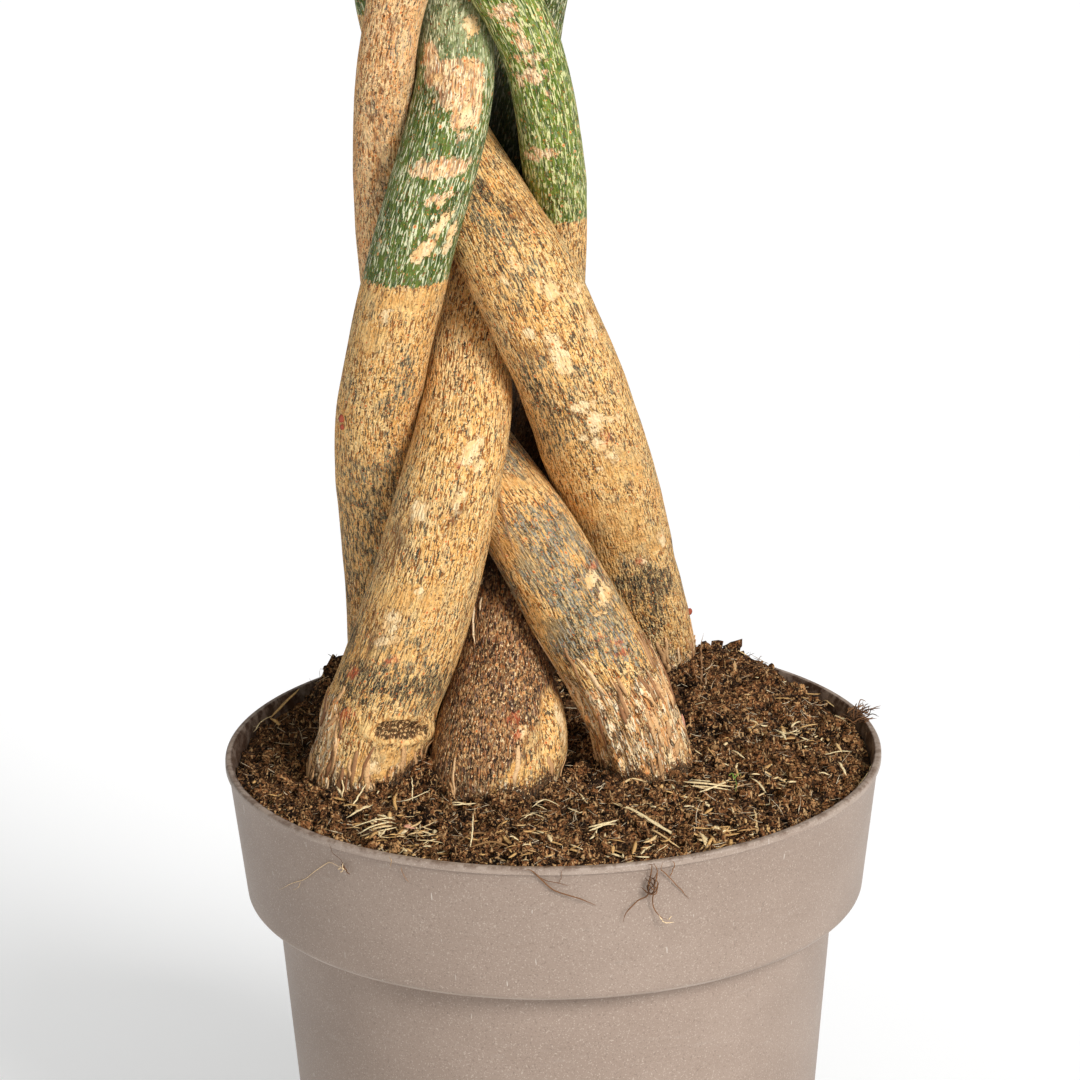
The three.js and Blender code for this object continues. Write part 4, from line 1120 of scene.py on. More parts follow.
leaf = {
    "along": ((0.58, 0.75, 0.89, 1), (0.42, 0.66, 0.86, 1)), "leaning": (-64, 58, -22, 20),
    "spiral": 137.5, "shift": 100, "stalk": (175, 104), "stalkRadius": 1.6, "rise": (52, 70), "ahead": (10, 36),
    "tilt": (38, 14), "length": (172, 136), "slender": 0.148, "shorter": 0.36, "dip": 0.05, "sag": 0.24, "fold": 0.2,
    "turns": (0, 9, -9, 18, -18, 27, -27, 36, -36, 48, -48, 60, -60, 75, -75, 90, -90), "lifts": (0, 12, -12, 24, -24),
    "larger": (0.9, 1.08), "leaflets": (5, 7.4), "sagging": (0.7, 1.3), "found": 0.5,
    "rows": 21, "columns": 9, "rib": 0.9, "edge": 0.25, "wave": 0.9, "stalkRows": 18, "stalkSides": 10,
    "patterns": {"cloud": (0.03, 3.0), "cell": (0.0015, 2.0)},
    "body": [
        (50, 92, 30),
        ((84, 128, 44), 1, ("cloud", 0.3, 0.7)),
        ((112, 150, 62), 0.25, ("cell", 0.4, 0.7)),
        ((134, 168, 84), 0.45, "vein"),
        ((158, 186, 104), 0.8, "rib"),
        ((130, 160, 92), 0.45, "under"),
    ],
    "stem": [(96, 128, 56), ((140, 160, 84), 1, ("cloud", 0.35, 0.65)), ("body", 1, "isBlade")],
}

numbers = {"seed": 41, "factor": 16807, "limit": 2147483647}  # the same draws as the solids' leaves are made with


def draw(low, high):
    numbers["seed"] = numbers["seed"] * numbers["factor"] % numbers["limit"]
    return mix(low, high, numbers["seed"] / numbers["limit"])


def direction(azimuth, elevation):
    # a unit vector from its turn round the upright axis and its rise, in degrees
    a, e = math.radians(azimuth), math.radians(elevation)
    return np.array([math.cos(a) * math.cos(e), math.sin(a) * math.cos(e), math.sin(e)])


def bend(start, control, end, t):
    # a parabola from start to end, which sets out towards the control point
    t = np.asarray(t)[..., None]
    return (1 - t) ** 2 * start + 2 * t * (1 - t) * control + t**2 * end


def tubeGrid(centres, radii, sides, flat=1.0):
    # rings across a path, each square to it; flat is their height over their width
    way = np.gradient(centres, axis=0)
    way /= np.linalg.norm(way, axis=1)[:, None]
    across = np.stack([-way[:, 1], way[:, 0], 0 * way[:, 0]], -1)
    across /= np.maximum(np.linalg.norm(across, axis=1), 1e-6)[:, None]
    up = np.cross(way, across)
    angle = turns(sides)[:, None]
    ring = across[:, None] * np.cos(angle) + up[:, None] * np.sin(angle) * flat
    return centres[:, None] + np.asarray(radii)[:, None, None] * ring


def joinGrids(pairs):
    # closed tubes and blades as one body; each pair is a grid of points and the marks of those points
    points, marks, faces, first = [], [], [], 0
    for grid, mark in pairs:
        points.append(withMiddles(grid))
        marks.append(withMiddles(mark))
        faces += closedFaces(*grid.shape[:2], first)
        first += len(points[-1])
    return np.concatenate(points), faces, np.concatenate(marks)


def planShoots():
    # two shoots on each trunk's top, a steep one and a leaning one, in order round the braid
    tops = []
    for name in ways:
        x, y = (np.interp(braid["top"][name], levels, tracks[name][:, axis]) for axis in (1, 2))
        tops.append(np.array([x, y, braid["top"][name]]))
    middle = np.mean(tops, 0)
    tops.sort(key=lambda top: math.atan2(top[1] - middle[1], top[0] - middle[0]))
    first = math.degrees(math.atan2(tops[0][1] - middle[1], tops[0][0] - middle[0]))
    shoots = []
    for n, top in enumerate(tops):
        for kind in (0, 1):
            hand = 1 if kind else -1
            outward = first + 360 / len(tops) * n
            azimuth = outward + hand * shoot["spread"]
            foot = top + direction(outward + hand * 90, 0) * shoot["apart"] + (0, 0, shoot["gap"])
            long = shoot["length"][kind] * draw(*shoot["longer"])
            curve = (foot, foot + (0, 0, 0.45 * long), foot + direction(azimuth, 90 - shoot["lean"][kind]) * long)
            shoots.append({"trunk": n, "kind": kind, "azimuth": azimuth, "curve": curve, "leaves": []})
    return shoots


def planLeaf(origin, order, azimuth, lift, size):
    # the stalk rises and then reaches ahead to the hub, where the leaflets spread in a tilted plane
    reach = mix(*leaf["stalk"], order) * size
    rise = direction(azimuth, mix(*leaf["rise"], order) + lift)
    ahead = direction(azimuth, mix(*leaf["ahead"], order) + lift)
    hub = origin + 0.42 * reach * rise + 0.58 * reach * ahead
    tilt = mix(*leaf["tilt"], order) - lift
    out, face = direction(azimuth, -tilt), direction(azimuth, 90 - tilt)
    stalk = (origin, origin + rise * 0.55 * reach, hub - out * leaf["stalkRadius"])
    return {"hub": hub, "out": out, "face": face, "stalk": stalk, "length": mix(*leaf["length"], order) * size}


def leafletFrames(plan):
    # each leaflet's direction, its own sideways direction and its length
    count = plan["leaflets"]
    side = np.cross(plan["face"], plan["out"])
    for j in range(count):
        angle = math.radians((j - (count - 1) / 2) * (46 - 3 * (count - 5)))
        way = plan["out"] * math.cos(angle) + side * math.sin(angle)
        long = plan["length"] * (1 - leaf["shorter"] * abs(angle / math.radians(115)) ** 1.3)
        yield way, np.cross(plan["face"], way), long


def ribPoints(plan, way, long, s):
    # straight ahead, slightly shortened towards the tip, and sagging with the square of the distance
    s = np.asarray(s)[:, None]
    down = plan["face"] * (leaf["dip"] * s + plan["sag"] * s**2)
    return plan["hub"] + long * (way * s * (1 - 0.1 * s**2) - down)


def growLeaves(shoots):
    # a leaf's turn and lift are those whose tips are corners of the solid that it stands for
    last = len(leaf["leaning"]) - 1
    corners = []
    for n in range(len(shoots)):
        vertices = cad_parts[f"leafy_shoot_{n + 1}"].data.vertices
        tree = KDTree(len(vertices))
        for corner in vertices:
            tree.insert(corner.co * 1000, corner.index)
        tree.balance()
        corners.append(tree)
    for order in range(last, -1, -1):
        for one, tree in zip(shoots, corners):
            origin = bend(*one["curve"], leaf["along"][one["kind"]][order])
            turn = leaf["leaning"][order] if one["kind"] else leaf["spiral"] * order + leaf["shift"] * one["trunk"]
            size, leaflets = draw(*leaf["larger"]), math.floor(draw(*leaf["leaflets"]))
            sag = leaf["sag"] * draw(*leaf["sagging"])
            tries = []
            for lift in leaf["lifts"]:
                for more in leaf["turns"]:
                    plan = planLeaf(origin, order / last, one["azimuth"] + turn + more, lift, size)
                    plan.update(leaflets=leaflets, sag=sag)
                    tips = [ribPoints(plan, way, long, [1.0])[0] for way, across, long in leafletFrames(plan)]
                    tries.append((sum(tree.find(tip)[2] for tip in tips) / leaflets, len(tries), plan))
            best = min(tries)
            if best[0] < leaf["found"]:
                one["leaves"].append(best[2])
    print("leaves", [len(one["leaves"]) for one in shoots])


def leafletGrid(plan, way, across, long, seed):
    # half-width: a sine over the length, fullest past the middle; edges lift and wave, and the rib is thickest
    s = np.linspace(0, 1, leaf["rows"])
    u = np.linspace(-1, 1, leaf["columns"])
    half = leaf["slender"] * long * np.sin(np.pi * s**1.35) ** 0.8
    half = np.maximum(np.nan_to_num(half), 0.9 * (1 - s) + 0.05)[:, None]
    wave = leaf["wave"] * np.sin(s[:, None] * 19 + seed + 1.5 * np.sign(u)) * u**2 * np.minimum(half / 12, 1)
    raised = leaf["fold"] * half * np.abs(u) ** 1.3 + wave
    rib = ribPoints(plan, way, long, s)[:, None]
    middle = rib + across * (half * u)[..., None] + plan["face"] * raised[..., None]
    thick = mix(leaf["rib"], leaf["edge"], np.abs(u) ** 0.7)[None, :, None] * (1 - 0.5 * s)[:, None, None]
    upper, lower = middle + plan["face"] * thick / 2, middle - plan["face"] * thick / 2
    # round the section: over the upper side from right to left, back under it
    section = np.concatenate([upper[:, ::-1], lower], 1)
    sides = [np.stack(np.broadcast_arrays(u * hand, s[:, None], under), -1) for hand, under in ((-1, 0.0), (1, 1.0))]
    blade = np.concatenate(sides, 1)  # across, along, and whether it is the under side
    blade[..., 0] *= half / 20
    return section, blade


def shootPieces(one, number):
    # points, quads and the leaf marks of a stem with its stalks and blades
    green = np.array([9.0, 0.5, 0.0])  # the mark of stems and stalks, far off any rib
    t = np.linspace(0, 1, shoot["steps"])
    stem = tubeGrid(bend(*one["curve"], t), mix(*shoot["radius"], t), shoot["sides"])
    grids = [(stem, green + 0 * stem)]
    for n, plan in enumerate(one["leaves"]):
        t = np.linspace(0, 1, leaf["stalkRows"])  # a stalk is thickest at both ends
        radii = leaf["stalkRadius"] * (1.15 - 0.15 * t + 0.5 * np.exp(-t * 18) + 0.9 * np.exp(-(1 - t) * 22))
        stalk = tubeGrid(bend(*plan["stalk"], t), radii, leaf["stalkSides"])
        grids.append((stalk, green + 0 * stalk))
        for j, (way, across, long) in enumerate(leafletFrames(plan)):
            grids.append(leafletGrid(plan, way, across, long, number + 3 * n + 2 * j))
    return joinGrids(grids)


def leafFinish():
    finish, wire = newFinish("greenLeaf")
    parts = findPatterns(wire.place(), leaf["patterns"])
    across, along, parts["under"] = wire.mark("blade", 1).parted()
    off = across.size()
    cloud, cell, under = parts["cloud"], parts["cell"], parts["under"]
    vein = (wire.math("FRACT", along * 13.0 - off * 4.6) - 0.5).size().step(0.06, 0.015) * off.step(1.6, 0.3)
    rib = off.step(0.07, 0.03)
    parts.update(vein=vein, rib=rib, isBlade=off.step(4.0, 3.0))
    parts["body"] = coated(wire, parts, leaf["body"])
    relief = vein * -0.6 + rib * -0.8 + cell * 0.2 + cloud * 0.6
    rough = 0.36 + 0.14 * cell + 0.2 * under
    return applyFinish(finish, wire, coated(wire, parts, leaf["stem"]), rough, relief, 0.0006, 0.7)


def makeLeaves(finish):
    shoots = planShoots()
    growLeaves(shoots)
    for n, one in enumerate(shoots):
        points, faces, marks = shootPieces(one, n)
        piece = makePiece(f"shootFoliage_{n + 1}", points, faces, finish, "leaf", {"blade": marks})
        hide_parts(f"leafy_shoot_{n + 1}")


makeLeaves(leafFinish())
print("leaves made")


# Crumbs, straw and fibres on the soil

litter = {
    "reach": 127, "steps": 5, "pitch": (0.32, 0.5),  # how far out, a strand's points, and how it slopes and arches
    "crumbs": 5600, "crumbSize": (0.45, 3.4), "crumbSides": 5, "crumbRows": 3,
    "crumbRough": (0.6, 1.35), "crumbEnds": (0.7, 1.2), "crumbShape": (0.6, 1.3),
    "clod": (119, 30, 5.5, 90),  # a heap of crumbs against the rim: x, y, spread and count
    "fibres": 4800, "fibreLength": (2.5, 13), "fibreRadius": (0.1, 0.24), "fibreSides": 3,
    "straws": 520, "strawLength": (2.5, 10), "strawRadius": (0.35, 1.15), "strawSides": 4, "inClusters": 0.55,
    "clusterSpread": 7,
    "clusters": [
        (-60, -98), (-52, -104), (-66, -92), (62, -96), (88, -40), (50, -70), (-8, -108), (100, 10), (30, -112),
    ],
    "fibreTones": ((62, 38, 23), (164, 120, 78), (250, 232, 196)),
    "strawTones": ((132, 92, 54), (224, 178, 112), (255, 234, 184)),
}


def scatter(rng, count):
    # evenly over a disc: the radius goes with the root of a random share
    radius = litter["reach"] * np.sqrt(rng.uniform(0, 1, count))
    angle = rng.uniform(0, 2 * np.pi, count)
    return radius * np.cos(angle), radius * np.sin(angle)


def keptClear(x, y, margin, reach=999):
    # only the places a margin outside the trunks and within reach of the middle
    keep = (np.min(list(offTrunks(x, y)), 0) > margin) & (np.hypot(x, y) < reach)
    return x[keep], y[keep]


def makeCrumbs(finish):
    # rough balls: rings of latitude whose radius has random lumps
    rng = np.random.default_rng(7)
    x, y = scatter(rng, litter["crumbs"])
    clodX, clodY, spread, many = litter["clod"]
    x, y = np.append(x, rng.normal(clodX, spread, many)), np.append(y, rng.normal(clodY, 1.6 * spread, many))
    x, y = keptClear(x, y, 1, 129)
    count = len(x)
    size = mix(*litter["crumbSize"], rng.uniform(0, 1, count) ** 4)
    rows, sides = litter["crumbRows"], litter["crumbSides"]
    latitude = np.linspace(-np.pi / 2, np.pi / 2, rows + 2)[1:-1, None]
    ball = roundPoints(np.cos(latitude), turns(sides), np.sin(latitude))
    lumpy = size[:, None, None, None] * ball[None] * rng.uniform(*litter["crumbRough"], (count, rows, sides, 1))
    poles = size[:, None, None] * np.array([[0, 0, -0.9], [0, 0, 0.9]])
    poles = poles * rng.uniform(*litter["crumbEnds"], (count, 2, 1))
    bodies = np.concatenate([lumpy.reshape(count, -1, 3), poles], 1) * rng.uniform(*litter["crumbShape"], (count, 1, 3))
    centre = np.stack([x, y, peatHeight(x, y) + 0.25 * size], -1)
    points = bodies + centre[:, None]
    step = rows * sides + 2
    faces = [(part[None] + np.arange(count)[:, None, None] * step).reshape(-1, part.shape[1])
             for part in closedFaces(rows, sides)]
    shade = np.repeat(rng.uniform(0, 1, count), step)
    makePiece("soilCrumbs", points.reshape(-1, 3), faces, finish, "soil", {"shade": shade}).data.shade_flat()


def strandTubes(rng, starts, headings, lengths, radii, curl, sides, flat=1.0):
    # each strand's heading turns steadily by a random curl; the tube round it tapers to both ends
    count, steps = len(starts), litter["steps"]
    t = np.linspace(-0.5, 0.5, steps)
    turn = rng.normal(0, 1, (count, 1)) * curl
    heading = headings[:, None] + turn * t
    slope, arch = (rng.normal(0, wide, (count, 1)) for wide in litter["pitch"])
    pitch = slope + arch * t
    stride = lengths[:, None, None] / (steps - 1)
    path = np.cumsum(roundPoints(np.cos(pitch), heading, np.sin(pitch)) * stride, 1)
    path = starts[:, None] + path - path.mean(1, keepdims=True)
    side = np.stack([-np.sin(heading), np.cos(heading), 0 * heading], -1)
    angle = turns(sides)[:, None]
    taper = (1 - 0.7 * np.abs(2 * t) ** 3)[None, :, None, None]
    ring = side[:, :, None] * np.cos(angle) + np.array([0, 0, 1.0]) * np.sin(angle) * flat
    return path[:, :, None] + ring * radii[:, None, None, None] * taper


def tubeFaces(count, steps, sides):
    # the quads of many like tubes, and a face over each end
    one = gridFaces(steps, sides)
    ends = np.array([list(range(sides - 1, -1, -1)), [(steps - 1) * sides + k for k in range(sides)]])
    offset = np.arange(count)[:, None, None] * steps * sides
    return [(one[None] + offset).reshape(-1, 4), (ends[None] + offset).reshape(-1, sides)]


def strandFinish(name, dark, mid, light):
    finish, wire = newFinish(name)
    grain = wire.place().noise(0.0008, 2.0, 0.6)
    parts = {"shade": wire.mark("shade"), "grain": grain}
    coat = [dark, (mid, 1, ("shade", 0.0, 0.5)), (light, 1, ("shade", 0.5, 1.0)), (dark, 0.5, ("grain", 0.5, 0.35))]
    colour = coated(wire, parts, coat)
    return applyFinish(finish, wire, colour, 0.7 + 0.2 * grain, grain, 0.0002)


def makeStrands(name, tubes, tones, finish, slotName="soil"):
    shade = np.repeat(tones, tubes.shape[1] * tubes.shape[2])
    makePiece(name, tubes.reshape(-1, 3), tubeFaces(*tubes.shape[:3]), finish, slotName, {"shade": shade})


def makeFibres(strawFinish):
    # fibres all over the soil, and flat straws, more than half of which lie in clusters
    rng = np.random.default_rng(11)
    x, y = keptClear(*scatter(rng, litter["fibres"]), 1.5)
    count = len(x)
    lengths = mix(*litter["fibreLength"], rng.uniform(0, 1, count) ** 2)
    radii = mix(*litter["fibreRadius"], rng.uniform(0, 1, count) ** 2)
    starts = np.stack([x, y, peatHeight(x, y) + 0.7], -1)
    tones = rng.uniform(0, 1, count)
    tones = np.where(tones < 0.7, 0.4 * tones, tones)  # most are dark
    headings = rng.uniform(0, 2 * np.pi, count)
    tubes = strandTubes(rng, starts, headings, lengths, radii, 1.0, litter["fibreSides"])
    makeStrands("soilFibres", tubes, tones, strandFinish("rootFibre", *litter["fibreTones"]))

    x, y = scatter(rng, litter["straws"])
    clusters = np.array(litter["clusters"])
    pull = clusters[rng.integers(0, len(clusters), len(x))]
    gathered = (rng.uniform(0, 1, len(x)) < litter["inClusters"])[:, None]
    place = np.where(gathered, pull + rng.normal(0, litter["clusterSpread"], (len(x), 2)), np.stack([x, y], -1))
    x, y = keptClear(*place.T, 2.5, 125)
    count = len(x)
    lengths = mix(*litter["strawLength"], rng.uniform(0, 1, count) ** 1.6)
    radii = rng.uniform(*litter["strawRadius"], count)
    starts = np.stack([x, y, peatHeight(x, y) + 1.2], -1)
    headings = rng.normal(0.25, 0.9, count)
    tubes = strandTubes(rng, starts, headings, lengths, radii, 0.1, litter["strawSides"], 0.3)
    makeStrands("soilStraw", tubes, rng.uniform(0.25, 1, count), strawFinish)


strawFinish = strandFinish("paleStraw", *litter["strawTones"])
makeCrumbs(peatFinish)
makeFibres(strawFinish)
print("litter made")


# Loose strands that the photo shows, by its pixels: x, y and the height off the surface in mm

loose = {
    "steps": 26, "sides": 7,
    "rootsOverRim": [  # shade, radius at both ends, pixels
        (0.3, 0.34, 0.22, [(526, 858, 3.0), (531, 864, 2.4), (540, 877, 1.7), (551, 888, 1.2), (565, 893, 1.6),
         (578, 897, 2.2), (597, 905, 0.6)]),
        (0.25, 0.19, 0.11, [(538, 874, 1.8), (547, 880, 1.6), (559, 881, 1.9), (570, 886, 0.8)]),
        (0.85, 0.19, 0.12, [(346, 867, 2.0), (338, 863, 1.4), (330, 861, 0.9), (319, 869, 1.4), (306, 878, 0.8),
         (292, 884, 0.7), (279, 890, 0.4)]),
        (0.8, 0.12, 0.09, [(301, 881, 0.8), (300, 886, 1.2), (297, 889, 1.4)]),
        (0.2, 0.10, 0.11, [(333, 842, 2.0), (336, 852, 1.8), (344, 858, 1.2), (347, 868, 1.6)]),
        (0.9, 0.31, 0.15, [(340, 868, 1.0), (345, 866, 2.4), (351, 871, 1.2)]),
        (0.2, 0.37, 0.22, [(344, 864, 1.0), (348, 867, 2.2), (352, 874, 0.8)]),
        (0.95, 0.25, 0.15, [(342, 872, 1.0), (346, 868, 2.0), (346, 862, 1.6)]),
        (0.3, 0.31, 0.22, [(646, 853, 3.0), (648, 861, 3.4), (650, 872, 2.6), (646, 884, 3.4), (645, 893, 2.4),
         (636, 900, 1.6), (626, 909, 2.8), (623, 921, 1.6)]),
        (0.35, 0.31, 0.19, [(652, 855, 2.6), (655, 868, 3.2), (651, 882, 4.2), (651, 897, 2.4), (654, 908, 1.8),
         (660, 915, 3.4), (664, 917, 4.0)]),
        (0.95, 0.28, 0.15, [(657, 913, 3.2), (662, 918, 4.2), (669, 917, 5.0)]),
        (0.95, 0.22, 0.11, [(663, 917, 4.2), (668, 912, 5.4)]),
        (0.4, 0.22, 0.15, [(660, 853, 3.0), (658, 864, 3.6), (664, 872, 2.0), (676, 885, 1.2), (689, 899, 0.6)]),
        (0.15, 0.3, 0.25, [(644, 876, 2.4), (649, 880, 4.2), (652, 886, 4.0), (647, 891, 3.0), (645, 884, 2.2),
         (650, 877, 4.0)]),
        (0.3, 0.25, 0.2, [(653, 874, 2.0), (647, 879, 3.6), (650, 885, 4.6), (654, 880, 3.6), (649, 875, 2.6)]),
        (0.1, 0.25, 0.2, [(646, 872, 3.0), (651, 878, 5.0), (646, 886, 4.4), (649, 894, 2.6)]),
        (0.45, 0.2, 0.2, [(655, 870, 2.6), (652, 879, 3.0), (655, 888, 3.4), (651, 895, 2.0)]),
        (0.2, 0.31, 0.22, [(641, 886, 2.4), (647, 890, 4.0), (653, 886, 3.6), (656, 878, 2.4)]),
        (0.45, 0.19, 0.15, [(668, 851, 2.4), (671, 860, 3.0), (671, 868, 2.0), (668, 876, 1.4)]),
        (0.6, 0.15, 0.11, [(404, 866, 1.6), (405, 872, 1.0), (409, 882, 0.6)]),
        (0.7, 0.19, 0.15, [(392, 851, 2.6), (394, 858, 3.0), (393, 866, 2.0)]),
        (0.3, 0.12, 0.11, [(560, 866, 2.4), (562, 876, 1.6), (558, 884, 0.8)]),
    ],
    "onSoil": [  # shade, half-width, flatness, pixels
        (0.9, 1.5, 0.25, [(618, 808, 2.4), (640, 821, 2.8), (660, 833, 2.8), (682, 845, 2.4)]),
        (0.95, 1.1, 0.3, [(590, 832, 2.2), (604, 829, 2.6), (618, 826, 2.4)]),
        (0.85, 1.4, 0.3, [(684, 786, 2.2), (708, 790, 2.8), (735, 793, 2.4)]),
        (0.9, 1.2, 0.3, [(700, 797, 2.2), (716, 793, 3.0), (730, 786, 2.6)]),
        (0.8, 2.2, 0.2, [(835, 720, 2.2), (842, 726, 2.8), (850, 730, 2.4)]),
        (0.95, 0.8, 0.4, [(352, 833, 2.0), (372, 827, 3.0), (395, 823, 2.4)]),
        (1.0, 0.8, 0.4, [(357, 838, 2.0), (375, 832, 3.4), (393, 829, 2.6)]),
        (0.85, 0.9, 0.4, [(360, 842, 2.0), (380, 836, 2.6), (397, 833, 2.2)]),
        (0.9, 0.7, 0.5, [(345, 823, 2.0), (358, 818, 3.4), (373, 812, 2.6)]),
        (0.95, 0.6, 0.5, [(350, 812, 2.0), (358, 806, 4.0), (368, 798, 6.0)]),
        (0.6, 1.3, 0.3, [(344, 810, 2.2), (352, 811, 2.8), (362, 813, 2.2)]),
        (0.5, 0.7, 0.4, [(394, 814, 1.6), (395, 808, 3.4), (396, 803, 4.6)]),
        (0.85, 0.5, 0.5, [(342, 802, 1.6), (343, 796, 4.0), (341, 790, 6.4)]),
        (0.9, 0.5, 0.5, [(387, 792, 1.6), (386, 785, 4.4), (384, 777, 7.4)]),
        (1.0, 0.4, 0.5, [(413, 804, 1.6), (412, 797, 4.4), (412, 791, 6.4)]),
        (1.0, 0.4, 0.6, [(404, 806, 2.0), (416, 803, 2.6), (430, 798, 3.4)]),
        (0.95, 0.5, 0.5, [(471, 853, 1.8), (472, 841, 4.4), (474, 829, 6.8)]),
        (0.1, 0.9, 0.7, [(459, 846, 2.0), (478, 841, 3.0), (508, 845, 2.0)]),
        (0.15, 0.8, 0.7, [(470, 852, 2.0), (492, 850, 3.0), (514, 852, 2.0)]),
        (0.9, 0.8, 0.4, [(448, 810, 2.0), (462, 812, 3.2), (476, 808, 2.4)]),
        (0.95, 0.5, 0.5, [(532, 812, 2.0), (546, 808, 3.4), (560, 812, 2.4)]),
        (0.9, 0.4, 0.5, [(520, 825, 2.0), (534, 821, 2.8), (548, 824, 2.0)]),
        (0.9, 0.6, 0.5, [(592, 756, 2.0), (600, 764, 3.0), (606, 776, 2.4)]),
        (1.0, 0.4, 0.6, [(586, 700, 2.6), (596, 708, 3.0), (602, 720, 2.2)]),
        (1.0, 0.4, 0.6, [(588, 716, 2.6), (594, 724, 3.0), (606, 730, 2.2)]),
        (0.7, 0.7, 0.5, [(735, 640, 1.6), (742, 650, 3.0), (752, 656, 2.2)]),
        (0.95, 0.4, 0.6, [(866, 800, 2.0), (874, 784, 3.4), (880, 768, 2.2)]),
        (0.9, 0.4, 0.6, [(858, 792, 2.0), (869, 782, 4.0), (884, 776, 2.6)]),
        (0.75, 1.1, 0.4, [(620, 790, 2.0), (632, 786, 3.0), (646, 787, 2.2)]),
        (0.6, 1.1, 0.4, [(268, 716, 2.0), (280, 706, 4.6), (292, 690, 6.0)]),
        (0.95, 0.5, 0.5, [(246, 728, 2.0), (256, 720, 3.4), (268, 712, 2.4)]),
    ],
    "shards": [  # straight splinters on the soil: shade, half-width, and the pixels of both ends
        (0.8, 1.1, 612, 806, 652, 828), (0.95, 0.9, 636, 815, 676, 843), (0.7, 0.9, 650, 834, 680, 854),
        (1.0, 1.3, 833, 730, 850, 720), (0.9, 0.8, 826, 759, 853, 757), (0.95, 0.9, 840, 766, 846, 780),
        (0.9, 0.9, 818, 778, 829, 781), (0.95, 0.8, 753, 783, 765, 798), (0.8, 0.7, 731, 811, 738, 834),
        (0.7, 0.7, 754, 814, 758, 845), (0.6, 1.4, 766, 826, 769, 838), (0.8, 1.3, 700, 838, 704, 852),
        (0.9, 0.7, 580, 797, 594, 817), (0.85, 0.7, 566, 812, 578, 818), (0.95, 0.7, 587, 730, 604, 742),
        (0.9, 0.9, 714, 768, 728, 771), (0.9, 0.9, 732, 754, 744, 764), (1.0, 1.0, 777, 734, 785, 745),
        (0.8, 0.9, 748, 726, 759, 730), (0.9, 0.9, 790, 731, 801, 728), (0.7, 0.6, 829, 694, 836, 704),
        (0.7, 0.6, 836, 693, 840, 705), (0.9, 0.7, 690, 752, 701, 760), (0.85, 1.1, 349, 820, 369, 811),
        (0.95, 0.9, 361, 819, 395, 826), (0.85, 0.7, 364, 823, 396, 829), (0.8, 1.5, 370, 835, 394, 831),
        (0.9, 1.0, 415, 836, 430, 838), (0.8, 0.7, 417, 846, 441, 848), (0.85, 0.7, 424, 850, 437, 845),
        (0.95, 0.9, 449, 807, 470, 811), (0.9, 0.6, 535, 809, 548, 816), (0.8, 0.6, 516, 822, 532, 820),
        (0.5, 0.9, 497, 833, 509, 827), (0.5, 1.6, 330, 802, 349, 807), (0.5, 1.2, 394, 800, 397, 816),
        (1.0, 0.5, 358, 782, 373, 794), (1.0, 0.5, 375, 800, 387, 785), (0.9, 1.2, 589, 835, 617, 829),
        (0.85, 1.0, 684, 790, 732, 796), (0.95, 0.7, 690, 784, 728, 789), (0.9, 0.8, 640, 858, 654, 851),
    ],
    "pinkFlake": [(0.5, 1.7, 0.25, [(683, 748, 1.6), (684, 738, 3.4), (682, 726, 5.0)]),
                  (0.6, 1.5, 0.25, [(410, 829, 2.2), (406, 832, 3.0), (416, 834, 2.4)])],
    "sprout": [(0.3, 0.3, 1.0, [(736, 796, 1.6), (737, 791, 3.0), (735, 787, 4.2)]),
               (0.6, 0.5, 0.3, [(735, 788, 4.2), (738, 785, 4.8), (741, 786, 4.4)]),
               (0.5, 0.5, 0.3, [(735, 788, 4.2), (732, 784, 4.8), (729, 786, 4.6)])],
    "onTrunks": [  # trunk, shade, half-width, flatness, pixels
        ("middle_front", 1.0, 0.3, 0.6, [(486, 577, 1.2), (483, 583, 2.0), (479, 588, 1.2)]),
        ("middle_front", 1.0, 0.5, 0.6, [(476, 600, 1.2), (476, 616, 2.0), (475, 632, 1.8), (476, 646, 1.2)]),
        ("middle_front", 1.0, 0.42, 0.6, [(483, 598, 1.0), (482, 603, 1.6), (482, 608, 1.0)]),
        ("middle_front", 0.95, 0.25, 0.6, [(521, 604, 0.8), (524, 611, 1.4), (527, 618, 0.8)]),
        ("right_front", 0.6, 0.38, 0.35, [(497, 478, 0.8), (500, 494, 1.6), (506, 516, 1.2), (513, 536, 1.8),
         (521, 556, 0.7)]),
        ("right_front", 0.55, 0.25, 0.6, [(498, 528, 0.6), (502, 545, 1.2), (508, 560, 0.8)]),
    ],
    "splinters": [  # shade, half-width, foot's pixel, height and lean in mm
        (0.6, 1.1, (700, 688), 26, (0.6, 0)), (0.45, 0.9, (697, 690), 15, (-1.4, 0)),
        (0.75, 0.6, (704, 692), 12, (1.8, -1)),
        (0.85, 0.5, (707, 694), 9, (2.6, 0)), (0.5, 0.8, (664, 690), 10, (-1.6, 0)),
        (0.9, 0.5, (868, 740), 9, (1.5, -1)),
    ],
    "tuft": {"place": (126.5, 31, 240.5), "strands": 46, "length": (4, 11), "radius": 0.24},
    "flakes": {"left_front": 64, "right_front": 90, "right_back": 70, "middle_front": 24, "left_back": 30},
    "flake": {
        "rows": 5, "above": 232, "drift": 0.5, "lift": (0.1, 0.9), "width": (0.5, 1.1), "thick": 0.35, "palest": 0.75,
    },
    "nubs": (("right_back", 691, 612, 1.5), ("left_back", 342, 420, 1.7), ("left_back", 343, 426, 1.2)),
    "tones": {  # dark, middle and light
        "looseRoot": ((58, 34, 18), (142, 96, 54), (250, 220, 176)),
        "pinkFlake": ((150, 92, 70), (222, 160, 130), (250, 206, 170)),
        "youngGreen": ((70, 92, 34), (124, 150, 60), (160, 186, 84)),
        "barkFlake": ((150, 102, 64), (230, 182, 126), (252, 226, 182)),
        "redNub": ((120, 52, 34), (178, 84, 56), (206, 120, 84)),
    },
}


